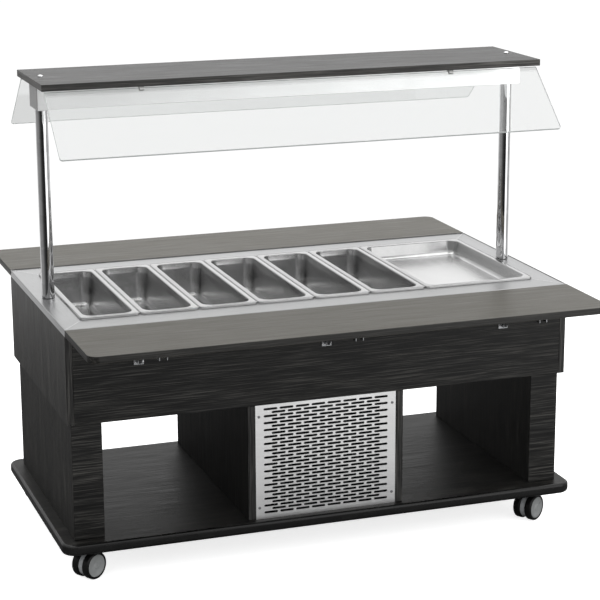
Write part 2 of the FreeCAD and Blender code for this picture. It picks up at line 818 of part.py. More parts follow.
def condenser():
    half = condenser_length / 2
    top = condenser_under + condenser_height
    core = box(-half, half, condenser_front, condenser_back, condenser_under, top)
    pitch = condenser_length / (fin_count + 1)
    first = pitch - half
    gaps = [box(first + fin * pitch - fin_gap / 2, first + fin * pitch + fin_gap / 2, condenser_front,
                condenser_front + fin_cut, condenser_under, top) for fin in range(fin_count)]
    feet = [box(x, x + pitch, condenser_front, condenser_back, base_top, condenser_under)
            for x in (-half, half - pitch)]
    shroud = box(-half, half, condenser_back, shroud_back, condenser_under, top)
    inside = box(shroud_sheet - half, half - shroud_sheet, condenser_back, shroud_back - shroud_sheet,
                 condenser_under + shroud_sheet, top - shroud_sheet)
    mouth = rod(fan_radius + fan_tip_gap, (0, condenser_back, fan_z), (0, 1, 0), shroud_depth)
    return fused([core.cut(gaps), shroud.cut([inside, mouth])] + feet)


def fan_rotor():
    hub = rod(fan_hub_radius, (0, -fan_hub_length / 2, 0), (0, 1, 0), fan_hub_length)
    shaft = rod(fan_shaft_radius, (0, fan_hub_length / 2, 0), (0, 1, 0), motor_gap + fan_shaft_length)
    root = fan_hub_radius / 2
    flat = box(-fan_blade_chord / 2, fan_blade_chord / 2, -fan_blade_thickness / 2, fan_blade_thickness / 2,
               root, fan_radius)
    blade = turned(flat, fan_blade_pitch, (0, 0, 1))
    tip_circle = rod(fan_radius, (0, -fan_radius, 0), (0, 1, 0), 2 * fan_radius)
    blade = blade.common(tip_circle)
    blades = [turned(blade, turn * 360.0 / fan_blade_count, (0, 1, 0)) for turn in range(fan_blade_count)]
    return moved(fused([hub, shaft] + blades), 0, fan_y, fan_z)


def fan_motor():
    case = rod(motor_radius, (0, motor_front, fan_z), (0, 1, 0), motor_length)
    foot = fan_radius + fan_tip_gap + motor_arm_width / 2
    pieces = [case]
    for turn in range(4):
        arm = box(-motor_arm_width / 2, motor_arm_width / 2, motor_front, motor_front + motor_arm_thickness,
                  motor_radius / 2, foot + motor_arm_thickness)
        leg = box(-motor_arm_width / 2, motor_arm_width / 2, shroud_back, motor_front + motor_arm_thickness,
                  foot, foot + motor_arm_thickness)
        pieces.append(moved(turned(fused([arm, leg]), 45 + 90 * turn, (0, 1, 0)), 0, 0, fan_z))
    bore_depth = fan_shaft_length + motor_gap
    bore = rod(fan_shaft_radius + running_gap, (0, motor_front, fan_z), (0, 1, 0), bore_depth)
    return fused(pieces).cut(bore)


def compressor():
    plate_under = base_top + compressor_foot
    pot_under = plate_under + compressor_plate
    middle = pot_under + compressor_height / 2
    blank = rod(compressor_radius, (0, 0, pot_under), (0, 0, 1), compressor_height)
    ends = [edge for edge in blank.Edges if edge.BoundBox.ZLength < 1e-6]
    pot = blank.makeFillet(compressor_round, ends)
    base = plate(compressor_foot_x + compressor_plate_margin, compressor_foot_y + compressor_plate_margin,
                 plate_under, pot_under)
    foot = rod(compressor_foot_radius, (0, 0, base_top), (0, 0, 1), compressor_foot)
    feet = [moved(foot, x, y) for x in (-compressor_foot_x, compressor_foot_x)
            for y in (-compressor_foot_y, compressor_foot_y)]
    terminals = box(compressor_radius / 2, compressor_radius + terminal_box / 2, -terminal_box / 2,
                    terminal_box / 2, middle - terminal_box / 2, middle + terminal_box / 2)
    return moved(fused([pot, base, terminals] + feet), compressor_x, compressor_y)


def main():
    os.makedirs("parts", exist_ok=True)
    sides = (-1, 1)
    stations = (-bracket_x, 0.0, bracket_x)
    places = castor_places()

    export("base_plate", base_plate())
    export("castor_plates", *[castor_mounting_plate(place) for place in places.values()])
    horn = castor_horn()
    for name, place in places.items():
        export("castor_horn_" + name, set_castor(horn, place))
        export("castor_wheel_" + name + "_a", set_castor(castor_wheel(1), place))
        export("castor_wheel_" + name + "_b", set_castor(castor_wheel(-1), place))

    export("pedestals", *[pedestal(side) for side in sides])
    export("housing_sides", *[housing_side(side) for side in sides])
    export("front_grille", front_grille())
    export("service_panel", service_panel())
    export("end_panel_left", end_panel(-1))
    export("end_panel_right", end_panel(1))
    export("apron_front", front_apron())
    export("apron_rear", turned(front_apron()))
    export("body_floor", body_floor())

    export("steel_top", steel_top())
    export("well_tub", well_tub())
    export("well_insulation", well_insulation())
    export("drain_pipe", drain_pipe())
    start = -pan_row / 2
    for number in range(pan_count):
        centre = start + (number + 0.5) * pan_pitch
        export("pan_%d" % (number + 1), gastronorm(pan_pitch, pan_depth, centre))
    export("tray", gastronorm(module_width, tray_depth, -start - module_width / 2))

    plates = [bracket_wall_plate(x) for x in stations]
    arms = [shelf_arm(x) for x in stations]
    links = [bracket_link(x) for x in stations]
    export("shelf_front", front_shelf())
    export("shelf_rear", turned(front_shelf()))
    export("bracket_plates", *(plates + [turned(piece) for piece in plates]))
    export("shelf_arms_front", *arms)
    export("shelf_arms_rear", *[turned(piece) for piece in arms])
    export("links_front", *links)
    export("links_rear", *[turned(piece) for piece in links])

    export("posts", *[post(side) for side in sides])
    export("tie_rods", *[tie_rod(side) for side in sides])
    export("light_box", light_box())
    export("led_light", led_light())
    export("canopy_board", canopy_top_board())
    clamps = [rear_glass_clamp(side * clamp_x) for side in sides]
    export("glass_rear", rear_glass())
    export("glass_front", turned(rear_glass()))
    export("glass_clamps", *(clamps + [turned(piece) for piece in clamps]))

    export("thermostat", thermostat())
    export("switch_frames", *[switch_frame(x) for x in switch_x.values()])
    export("rocker_power", rocker(switch_x["power"]))
    export("rocker_light", rocker(switch_x["light"]))
    export("cable_gland", cable_gland())
    export("condenser", condenser())
    export("fan_rotor", fan_rotor())
    export("fan_motor", fan_motor())
    export("compressor", compressor())


main()
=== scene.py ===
import json
import math

import bmesh
import bpy
from mathutils import Matrix, Vector

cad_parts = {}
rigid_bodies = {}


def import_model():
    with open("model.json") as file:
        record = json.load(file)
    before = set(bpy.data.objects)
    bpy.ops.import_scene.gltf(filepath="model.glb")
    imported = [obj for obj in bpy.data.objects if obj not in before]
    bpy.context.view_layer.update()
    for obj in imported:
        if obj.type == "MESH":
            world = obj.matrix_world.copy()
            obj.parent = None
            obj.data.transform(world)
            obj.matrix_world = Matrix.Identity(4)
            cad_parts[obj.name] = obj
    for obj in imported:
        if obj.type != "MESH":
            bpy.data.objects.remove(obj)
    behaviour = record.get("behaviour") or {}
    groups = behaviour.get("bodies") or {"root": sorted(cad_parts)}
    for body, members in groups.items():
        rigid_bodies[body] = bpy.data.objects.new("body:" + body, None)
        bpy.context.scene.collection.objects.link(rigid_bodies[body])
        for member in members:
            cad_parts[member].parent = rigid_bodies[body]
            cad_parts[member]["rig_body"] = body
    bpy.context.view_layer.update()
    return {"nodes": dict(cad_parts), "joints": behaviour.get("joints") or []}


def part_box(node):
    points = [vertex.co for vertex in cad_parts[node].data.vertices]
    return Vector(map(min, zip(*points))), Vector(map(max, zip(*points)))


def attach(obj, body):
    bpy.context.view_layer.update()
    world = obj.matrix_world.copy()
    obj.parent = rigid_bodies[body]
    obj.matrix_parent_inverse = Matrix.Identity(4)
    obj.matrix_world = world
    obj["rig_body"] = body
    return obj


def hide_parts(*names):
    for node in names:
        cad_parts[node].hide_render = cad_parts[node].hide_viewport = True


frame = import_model()
scene = bpy.context.scene
joints = {joint["name"]: joint for joint in frame["joints"]}
castorNames = ("front_left", "front_right", "rear_left", "rear_right")
print("frame loaded:", len(frame["nodes"]), "nodes")


# materials: small helpers, then one function for each finish

def triple(value):
    return (value, value, value)


def feed(value, socket):  # links a node's output, or sets a plain value
    if isinstance(value, bpy.types.NodeSocket):
        socket.id_data.links.new(value, socket)
    else:
        socket.default_value = value


def feedAll(node, inputs):
    for name, value in inputs.items():
        feed(value, node.inputs[name.replace("_", " ")])
    return node


def newMaterial(name, **values):
    material = bpy.data.materials.new(name)
    material.use_nodes = True
    tree = material.node_tree
    return material, tree, feedAll(tree.nodes["Principled BSDF"], values)


def addNode(tree, kind, **inputs):
    return feedAll(tree.nodes.new(kind), inputs)


def objectSpace(tree, stretch):  # metres in the piece's own frame, divided by stretch
    coordinates = tree.nodes.new("ShaderNodeTexCoord")
    mapping = addNode(tree, "ShaderNodeMapping", Vector=coordinates.outputs["Object"],
                      Scale=[1 / size for size in stretch])
    return mapping.outputs["Vector"]


def noise(tree, stretch, detail=3.0, rough=0.55, bend=0.0):
    node = addNode(tree, "ShaderNodeTexNoise", Vector=objectSpace(tree, stretch), Scale=1.0,
                   Detail=detail, Roughness=rough, Distortion=bend)
    return node.outputs["Fac"]


def ramp(source, stops):
    node = addNode(source.id_data, "ShaderNodeValToRGB", Fac=source)
    points = node.color_ramp.elements
    while len(points) < len(stops):
        points.new(0.5)
    for point, (place, colour) in zip(points, stops):
        point.position = place
        point.color = (*colour, 1)
    return node.outputs["Color"]


def spread(source, low, high, fromLow=0.3, fromHigh=0.7):
    node = addNode(source.id_data, "ShaderNodeMapRange", Value=source, From_Min=fromLow,
                   From_Max=fromHigh, To_Min=low, To_Max=high)
    return node.outputs["Result"]


def blendColours(tree, share, first, second, mode="MIX"):
    node = tree.nodes.new("ShaderNodeMix")
    node.data_type = "RGBA"
    node.blend_type = mode
    for index, value in zip((0, 6, 7), (share, first, second)):
        feed(value, node.inputs[index])
    return node.outputs[2]


def surface(shader, colour, source, roughness):  # roughness follows the source
    feedAll(shader, {"Base Color": colour, "Roughness": spread(source, *roughness)})


def bump(shader, source, depth, strength, under=None):
    node = addNode(shader.id_data, "ShaderNodeBump", Height=source, Strength=strength,
                   Distance=depth)
    if under is not None:
        feed(under, node.inputs["Normal"])
    feed(node.outputs["Normal"], shader.inputs["Normal"])
    return node.outputs["Normal"]


def along(axis, grain, across):  # stretch for a grain that runs along one axis
    return [grain if name == axis else across for name in "XYZ"]


laminateGrain = {
    "bands": (0.9, 0.035),
    "streaks": (0.15, 0.0022),
    "pores": (0.090, 0.0016),
    "streakDepth": 0.00030,
    "poreDepth": 0.00014,
    "relief": 0.6,
}


def laminate(name, axis, look):
    material, tree, shader = newMaterial(name, Specular_IOR_Level=look["gloss"],
                                         Sheen_Weight=look["sheen"], Sheen_Tint=look["sheenTint"])
    bands = noise(tree, along(axis, *laminateGrain["bands"]), detail=2.0)
    streaks = noise(tree, along(axis, *laminateGrain["streaks"]), detail=2.5, bend=0.5)
    pores = noise(tree, along(axis, *laminateGrain["pores"]), rough=0.6)
    tone = ramp(streaks, [(0.38, look["dark"]), (0.50, look["middle"]), (0.64, look["light"])])
    shade = ramp(bands, [(0.30, triple(0.74)), (0.70, (1.22, 1.20, 1.17))])
    colour = blendColours(tree, 1.0, tone, shade, "MULTIPLY")
    poreShade = ramp(pores, [(0.38, triple(0.42)), (0.52, triple(1))])
    pored = blendColours(tree, 1.0, colour, poreShade, "MULTIPLY")
    surface(shader, pored, streaks, look["roughness"])
    strength = laminateGrain["relief"]
    streaked = bump(shader, streaks, laminateGrain["streakDepth"], strength)
    bump(shader, pores, laminateGrain["poreDepth"], strength, streaked)
    return material


laminateLook = {
    "dark": (0.0012, 0.0012, 0.0011),
    "middle": (0.0095, 0.0094, 0.0089),
    "light": (0.0600, 0.0588, 0.0550),
    "roughness": (0.28, 0.66),
    "gloss": 0.26,
    "sheen": 0.0,
    "sheenTint": (1.0, 0.85, 0.45, 1.0),
}
baseLook = dict(laminateLook, gloss=0.20, roughness=(0.34, 0.64))
shelfLook = dict(laminateLook, gloss=0.38, sheen=0.085, roughness=(0.28, 0.56),
                 light=(0.0430, 0.0421, 0.0395))
canopyTopLook = dict(laminateLook, gloss=0.22, roughness=(0.26, 0.58))
# the canopy board's edges, lighter than the other edges: painted reflection of a brighter surround
canopyEdgeLitLook = dict(laminateLook, dark=(0.020, 0.020, 0.019), middle=(0.042, 0.041, 0.039),
                      light=(0.100, 0.098, 0.094))
# the end panels' laminate, lighter than the rest: painted light falling from the left
endLitLook = dict(laminateLook, middle=(0.0200, 0.0198, 0.0190), light=(0.0800, 0.0785, 0.0750),
               gloss=0.32)
# the bay walls' laminate, darker and duller than the rest: painted shade inside the bays
wallShadedLook = dict(laminateLook, middle=(0.0050, 0.0049, 0.0047), light=(0.0400, 0.0392, 0.0370),
                gloss=0.10)
laminateBase = laminate("laminate_base", "X", baseLook)
laminateEndLit = laminate("laminate_end_painted_light", "Z", endLitLook)
laminateWallShaded = laminate("laminate_bay_wall_painted_shade", "Z", wallShadedLook)
laminateShelf = laminate("laminate_shelf", "X", shelfLook)
canopyTop = laminate("canopy_top", "X", canopyTopLook)
canopyEdgeLitX = laminate("canopy_edge_along_painted_light", "X", canopyEdgeLitLook)
canopyEdgeLitY = laminate("canopy_edge_across_painted_light", "Y", canopyEdgeLitLook)
laminateX = laminate("laminate_along_counter", "X", laminateLook)
laminateY = laminate("laminate_across_counter", "Y", laminateLook)
laminateZ = laminate("laminate_upright", "Z", laminateLook)


edgingLook = {
    "dark": triple(0.0025),
    "light": (0.0060, 0.0060, 0.0058),
    "roughness": (0.20, 0.32),
    "speckle": triple(0.004),
    "wear": (0.05, 0.05, 0.02),
    "depth": 0.00005,
}


def edging(name, look):  # the base plate's rounded edge
    material, tree, shader = newMaterial(name, Specular_IOR_Level=0.38)
    speckle = noise(tree, look["speckle"])
    wear = noise(tree, look["wear"], detail=5.0)
    tone = ramp(wear, [(0.3, look["dark"]), (0.75, look["light"])])
    surface(shader, tone, wear, look["roughness"])
    bump(shader, speckle, look["depth"], 0.4)
    return material


blackEdging = edging("black_edging", edgingLook)
fineDepth = 0.00004  # relief of brushing, plating and mould grain


def steel(name, axis, look):
    material, tree, shader = newMaterial(name, Metallic=1.0)
    brush = noise(tree, along(axis, *look["grain"]), rough=0.65)
    cloud = noise(tree, triple(0.22))
    tone = ramp(brush, [(0.30, look["dark"]), (0.70, look["light"])])
    shade = ramp(cloud, [(0.35, triple(0.94)), (0.65, triple(1.03))])
    colour = blendColours(tree, 1.0, tone, shade, "MULTIPLY")
    surface(shader, colour, brush, look["roughness"])
    bump(shader, brush, fineDepth, look["relief"])
    return material


# brushed steel of the counter and service panel, darker than the pans' steel: painted shade
sheetShadedLook = {
    "dark": (0.316, 0.318, 0.320),
    "light": (0.411, 0.413, 0.416),
    "roughness": (0.26, 0.40),
    "grain": (0.11, 0.00055),
    "relief": 0.30,
}
panLook = {
    "dark": triple(0.55),
    "light": triple(0.62),
    "roughness": (0.20, 0.27),
    "grain": (0.30, 0.06),
    "relief": 0.05,
}
# the pans' rims, darker than the same sheet inside: painted shade that tones down their bright
# reflection
rimShadedLook = dict(panLook, dark=triple(0.40), light=triple(0.46))
# steel of the light box and the grille, made near white: painted light on faces turned to the front
satinLitLook = dict(sheetShadedLook, dark=triple(0.90), light=triple(0.97),
                 roughness=(0.30, 0.40), relief=0.20)
grilleLitLook = dict(sheetShadedLook, dark=triple(0.90), light=triple(0.98), roughness=(0.28, 0.40))
shadedSteelX = steel("brushed_steel_along_painted_shade", "X", sheetShadedLook)
shadedSteelY = steel("brushed_steel_across_painted_shade", "Y", sheetShadedLook)
panSteel = steel("pan_steel", "Y", panLook)
rimShadedSteel = steel("pan_rim_steel", "Y", rimShadedLook)
grilleLitSteel = steel("grille_steel_painted_light", "X", grilleLitLook)
satinLitX = steel("satin_steel_painted_light", "X", satinLitLook)


def plated(name, colour, roughness, flake, relief=0.3):
    material, tree, shader = newMaterial(name, Metallic=1.0)
    cells = addNode(tree, "ShaderNodeTexVoronoi", Vector=objectSpace(tree, triple(flake)), Scale=1.0)
    haze = noise(tree, triple(0.03), detail=4.0)
    dull = [0.86 * channel for channel in colour]
    spangle = ramp(cells.outputs["Color"], [(0.2, dull), (0.8, colour)])
    surface(shader, spangle, haze, roughness)
    bump(shader, haze, fineDepth, relief)
    return material


# zinc plating, darkened: painted shade for the brackets that sit under the shelves
shadedZincPlate = plated("zinc_plate_painted_shade", (0.34, 0.345, 0.355), (0.30, 0.48), 0.006)
screwSteel = plated("screw_steel", (0.62, 0.62, 0.63), (0.18, 0.30), 0.003)
polishedChrome = plated("polished_chrome", (0.86, 0.86, 0.87), (0.03, 0.07), 0.02, 0.02)
# the condenser coil's fins, nearly black: painted shade inside the closed housing
finShadedMetal = plated("coil_fins_painted_shade", (0.015, 0.015, 0.016), (0.45, 0.60), 0.004)


def moulded(name, colour, roughness, grain=0.0006, gloss=0.5, glow=None):
    material, tree, shader = newMaterial(name, Specular_IOR_Level=gloss)
    fine = noise(tree, triple(grain))
    patch = noise(tree, triple(0.02), detail=4.0)
    shades = [(place, [share * channel for channel in colour])
              for place, share in ((0.3, 0.90), (0.7, 1.06))]
    surface(shader, ramp(patch, shades), patch, roughness)
    bump(shader, fine, fineDepth, 0.35)
    if glow:
        feedAll(shader, {"Emission Color": (*glow[0], 1), "Emission Strength": glow[1]})
    return material


tyreRubber = moulded("tyre_rubber", triple(0.0045), (0.26, 0.38), 0.0009, 0.28)
hubDisc = moulded("hub_disc", (0.31, 0.32, 0.32), (0.26, 0.38), 0.0005)
castorGrey = moulded("castor_grey", (0.36, 0.37, 0.38), (0.32, 0.46), 0.0005)
blackPlastic = moulded("black_plastic", (0.014, 0.014, 0.015), (0.34, 0.50))
rockerGreen = moulded("rocker_green", (0.03, 0.33, 0.08), (0.16, 0.26),
                      glow=((0.02, 0.5, 0.1), 0.25))
rockerBlack = moulded("rocker_black", triple(0.010), (0.16, 0.28))
displayWindow = moulded("display_window", (0.006, 0.002, 0.002), (0.06, 0.10))
displaySegment = moulded("display_segment", (0.60, 0.03, 0.02), (0.3, 0.4),
                         glow=((1.0, 0.06, 0.03), 1.6))
opalLens = moulded("opal_lens", (0.86, 0.86, 0.84), (0.45, 0.60), 0.0008,
                   glow=((1.0, 0.985, 0.96), 2.2))
# the pane clamps, made pale: painted light on clamps that sit in the board's shade
clampPaintedLight = moulded("clamp_painted_light", (0.72, 0.72, 0.71), (0.30, 0.44))
# the light box's ends, dark grey: an end-cap colour together with painted shade on the end faces
boxEndCapShaded = moulded("box_end_cap_painted_shade", triple(0.19), (0.34, 0.48))
greyPipe = moulded("grey_pipe", (0.36, 0.37, 0.38), (0.30, 0.42))
blackEnamel = moulded("black_enamel", (0.012, 0.012, 0.013), (0.18, 0.30))
paleFoam = moulded("pale_foam", (0.72, 0.64, 0.42), (0.80, 0.95), 0.0025, 0.2)


def clearGlass(name, tint, haze, clear=1.0):
    material, tree, shader = newMaterial(name, Transmission_Weight=clear, IOR=1.46,
                                         Base_Color=(*tint, 1))
    smear = noise(tree, (0.10, 0.06, 0.06), detail=4.0)
    feed(spread(smear, *haze), shader.inputs["Roughness"])
    return material


paneGlass = clearGlass("pane_glass", (0.920, 0.930, 0.926), (0.0, 0.012))
groundEdge = clearGlass("pane_ground_edge", (0.66, 0.69, 0.68), (0.45, 0.60), 0.25)
print("materials made:", len(bpy.data.materials))


# mesh helpers

leastRadius = 0.0002
mergeDistance = 1e-6
flatAngle, edgeAngle = math.radians(0.5), math.radians(40)


def newPiece(name, built, materials):
    mesh = bpy.data.meshes.new(name)
    built.to_mesh(mesh)
    built.free()
    for material in materials:
        mesh.materials.append(material)
    piece = bpy.data.objects.new(name, mesh)
    scene.collection.objects.link(piece)
    return piece


def finishPiece(name, built, materials, replaced=(), sharp=32.0, body="cabinet"):
    bmesh.ops.recalc_face_normals(built, faces=built.faces)
    piece = newPiece(name, built, materials)
    piece.data.shade_smooth()
    piece.data.set_sharp_from_angle(angle=math.radians(sharp))
    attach(piece, body)
    if replaced:
        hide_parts(*replaced)
    return piece


def evenNormals(piece):  # keeps broad flat faces flat beside small rounds
    piece.modifiers.new("even_normals", "WEIGHTED_NORMAL").keep_sharp = True


def roundedLoop(halfA, halfB, radii, steps):
    corners = ((1, 1), (-1, 1), (-1, -1), (1, -1))
    points = []
    for turn, ((signA, signB), radius) in enumerate(zip(corners, radii)):
        for step in range(steps + 1):
            angle = math.radians(90 * turn + 90 * step / steps)
            points.append((signA * (halfA - radius) + radius * math.cos(angle),
                           signB * (halfB - radius) + radius * math.sin(angle)))
    return points


def ring(built, points):
    return [built.verts.new(point) for point in points]


def paint(built, pick):  # pick gives each face its material
    built.normal_update()
    for face in built.faces:
        face.material_index = pick(face)


def skin(built, rings, closed=False, capFirst=True, pick=None):
    count = len(rings[0])
    pairs = list(zip(rings, rings[1:]))
    if closed:
        pairs.append((rings[-1], rings[0]))
    for first, second in pairs:
        for i in range(count):
            j = (i + 1) % count
            built.faces.new((first[i], first[j], second[j], second[i]))
    if capFirst and not closed:
        built.faces.new(rings[0][::-1])
    if not closed:
        built.faces.new(rings[-1])
    if pick:
        paint(built, pick)


def quarter(steps):  # angles of a quarter turn
    return [math.pi / 2 * step / steps for step in range(steps + 1)]


def edgeArc(radius, steps):  # inset and rise along a quarter round
    return [(radius * (1 - math.sin(angle)), radius * (1 - math.cos(angle)))
            for angle in quarter(steps)]


def roundPoints(radius, sides):
    angles = [2 * math.pi * step / sides for step in range(sides)]
    return [(radius * math.cos(angle), radius * math.sin(angle)) for angle in angles]


def slabInto(built, low, high, axis, edge, corners=None, steps=3, edgeSteps=3):
    order = {"Z": (0, 1, 2), "X": (1, 2, 0), "Y": (0, 2, 1)}[axis]
    middle = [(a + b) / 2 for a, b in zip(low, high)]
    half = [(b - a) / 2 for a, b in zip(low, high)]
    arc = edgeArc(edge, edgeSteps)
    profile = [(inset, -half[order[2]] + rise) for inset, rise in arc]
    profile += [(inset, half[order[2]] - rise) for inset, rise in reversed(arc)]
    rings = []
    for inset, height in profile:
        radii = [max(radius - inset, leastRadius) for radius in corners or [edge] * 4]
        points = []
        for a, b in roundedLoop(half[order[0]] - inset, half[order[1]] - inset, radii, steps):
            place = list(middle)
            for index, shift in zip(order, (a, b, height)):
                place[index] += shift
            points.append(place)
        rings.append(ring(built, points))
    return rings


def slab(name, low, high, axis, edge, materials, slotName, replaced, pick=None, body="cabinet",
         **shape):
    built = bmesh.new()
    skin(built, slabInto(built, low, high, axis, edge, **shape), pick=pick)
    evenNormals(finishPiece(name, built, materials, replaced, body=body))


def byNormal(*indices):  # material of the faces that look along X, Y and Z
    def pick(face):
        sizes = [abs(value) for value in face.normal]
        return indices[sizes.index(max(sizes))]
    return pick


def lathe(built, profile, matrix, sides, materialOf=None):  # profile: radius and local height
    rings = []
    for radius, place in profile:
        flat = roundPoints(radius, sides) if radius > mergeDistance else [(0, 0)]
        rings.append(ring(built, [matrix @ Vector((x, y, place)) for x, y in flat]))
    for index, (first, second) in enumerate(zip(rings, rings[1:])):
        for s in range(sides):
            t = (s + 1) % sides
            corners = [first[s % len(first)], first[t % len(first)],
                       second[t % len(second)], second[s % len(second)]]
            face = built.faces.new(list(dict.fromkeys(corners)))
            face.material_index = materialOf[index] if materialOf else 0


def centreOf(node):
    low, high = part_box(node)
    return (low + high) / 2


def aimed(place, direction):
    turn = Vector(direction).to_track_quat("Z", "Y")
    return Matrix.Translation(place) @ turn.to_matrix().to_4x4()


def weld(built):
    bmesh.ops.remove_doubles(built, verts=built.verts, dist=mergeDistance)


def softened(name, node, width, materials, pick=None, segments=2):
    source = frame["nodes"][node]
    built = bmesh.new()
    built.from_mesh(source.data)
    weld(built)
    bmesh.ops.dissolve_limit(built, angle_limit=flatAngle, verts=built.verts, edges=built.edges)
    edges = [edge for edge in built.edges
             if len(edge.link_faces) == 2 and edge.calc_face_angle() > edgeAngle]
    bmesh.ops.bevel(built, geom=edges, offset=width, segments=segments, profile=0.5,
                    affect="EDGES", clamp_overlap=True)
    if pick:
        paint(built, pick)
    evenNormals(finishPiece(name, built, materials, (node,), body=source["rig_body"]))


def dressNode(node, material):
    mesh = frame["nodes"][node].data
    mesh.materials.clear()
    mesh.materials.append(material)


# boards: laminate faces with slim rounded edges

boards = {
    "edge": 0.0012,
    "shelfEdge": 0.0018,
    "shelfCorner": 0.028,
    "baseEdge": 0.009,
    "baseCorner": 0.038,
    "baseTopLimit": 0.95,
}


def board(node, axis, edge, materials, pick, **shape):
    slab(node + "_board", *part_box(node), axis, edge, materials, "dark_laminate", (node,), pick,
         **shape)


def baseBoard():
    def pick(face):
        return int(face.normal.z <= boards["baseTopLimit"])

    slab("base_board", *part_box("base_plate"), "Z", boards["baseEdge"], [laminateBase, blackEdging],
         "black_board", ("base_plate",), pick, corners=[boards["baseCorner"]] * 4, steps=10,
         edgeSteps=6)


def cabinetBoards():
    edge = boards["edge"]
    uprights = [laminateY, laminateZ, laminateX]
    for node in ("end_panel_left", "end_panel_right"):
        board(node, "X", edge, [laminateY, laminateEndLit], byNormal(1, 1, 0))
    for node in ("apron_front", "apron_rear"):
        board(node, "Y", edge, uprights, byNormal(1, 2, 2))
    softened("body_floor_board", "body_floor", edge, [laminateX])
    softened("housing_boards", "housing_sides", edge, [laminateWallShaded, laminateEndLit],
             byNormal(0, 1, 0))
    softened("pedestal_boards", "pedestals", edge, uprights, byNormal(1, 2, 0))


def shelfBoards():
    edge = boards["shelfEdge"]
    inner, outer = [edge] * 2, [boards["shelfCorner"]] * 2
    for side, corners in (("front", inner + outer), ("rear", outer + inner)):
        board("shelf_" + side, "Z", edge, [laminateShelf, laminateY], byNormal(1, 0, 0),
              body=side + "_shelf", corners=corners, steps=10, edgeSteps=4)


def canopyBoard():
    slab("canopy_top_board", *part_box("canopy_board"), "Z", boards["edge"],
         [canopyTop, canopyEdgeLitY, canopyEdgeLitX], "dark_laminate", ("canopy_board",),
         byNormal(1, 2, 0))


baseBoard()
cabinetBoards()
shelfBoards()
canopyBoard()
print("boards made")


# folded steel top, with ground mitre joints at its corners

counter = {
    "sheet": 0.0015,
    "foldRound": 0.0022,
    "openingCorner": 0.018,
    "opening": (1.276, 0.506),
    "returnWidth": 0.018,
    "steps": 8,
    "lip": 0.0005,
    "hem": 0.0004,
    "leastRadius": 0.0003,
    "seamStart": 0.0045,
    "seamWidth": 0.0009,
    "seamProud": 0.00006,
    "seamCrest": 0.35,
}


def steelTop():
    low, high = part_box("steel_top")
    halfX, halfY, top = high.x, high.y, high.z
    openX, openY = (size / 2 for size in counter["opening"])
    sheet, fold, steps = counter["sheet"], counter["foldRound"], counter["steps"]

    def loop(sizeX, sizeY, radius, z):
        return [(x, y, z) for x, y in roundedLoop(sizeX, sizeY, [radius] * 4, steps)]

    def outer(inset, z):
        return loop(halfX - inset, halfY - inset, max(fold - inset, counter["leastRadius"]), z)

    def pick(face):  # 1 on the two ends
        place = face.calc_center_median()
        return int(abs(place.x) - openX > abs(place.y) - openY)

    built = bmesh.new()
    lip, hem = counter["lip"], counter["hem"]
    corner, back = counter["openingCorner"], counter["returnWidth"]
    rings = [loop(openX, openY, corner, top - sheet), loop(openX, openY, corner, top - lip),
             loop(openX + lip, openY + lip, corner + lip, top)]
    rings += [outer(inset, top - rise) for inset, rise in reversed(edgeArc(fold, 4))]
    rings += [outer(0, low.z + hem), outer(hem, low.z), outer(back, low.z),
              outer(back, low.z + sheet), outer(sheet, low.z + sheet), outer(sheet, top - sheet)]
    skin(built, [ring(built, points) for points in rings], closed=True, pick=pick)
    finishPiece("counter_steel", built, [shadedSteelX, shadedSteelY], ("steel_top",), 40)

    seams = bmesh.new()
    start, proud = counter["seamStart"], Vector((0, 0, counter["seamProud"]))
    for signX in (-1, 1):
        for signY in (-1, 1):
            inner = Vector((signX * (openX - start), signY * (openY - start), top))
            outside = Vector((signX * (halfX - fold), signY * (halfY - fold), top))
            level = (outside - inner).cross(Vector((0, 0, 1))).normalized()
            across = level * counter["seamWidth"] / 2
            sides = [(inner, across), (outside, across), (outside, -across), (inner, -across)]
            lower = ring(seams, [end + side for end, side in sides])
            crest = ring(seams, [end + side * counter["seamCrest"] + proud for end, side in sides])
            skin(seams, [lower, crest])
    finishPiece("mitre_seams", seams, [polishedChrome])


steelTop()
dressNode("well_tub", panSteel)
dressNode("well_insulation", paleFoam)
dressNode("drain_pipe", greyPipe)
print("counter made")


# Gastronorm pans: pressed sheet with a rolled rim and a stacking shoulder

pans = {
    "sheet": 0.0008,
    "rimWidth": 0.014,
    "rimHeight": 0.005,
    "rimCorner": 0.012,
    "rimRoll": 0.0025,
    "mouthRound": 0.0035,
    "mouthCorner": 0.030,
    "draft": 0.006,
    "bottomRound": 0.014,
    "shoulderDrop": 0.016,
    "shoulderStep": 0.0016,
    "shoulderRise": 0.003,
    "leastRimCorner": 0.002,
    "leastMouthCorner": 0.008,
    "wallSet": 0.4,
    "flatStart": 1.6,
    "rimPart": 0.7,
    "underFlat": (1.2, 0.6),
    "steps": 9,
    "footSteps": 5,
    "edgeSteps": 4,
}


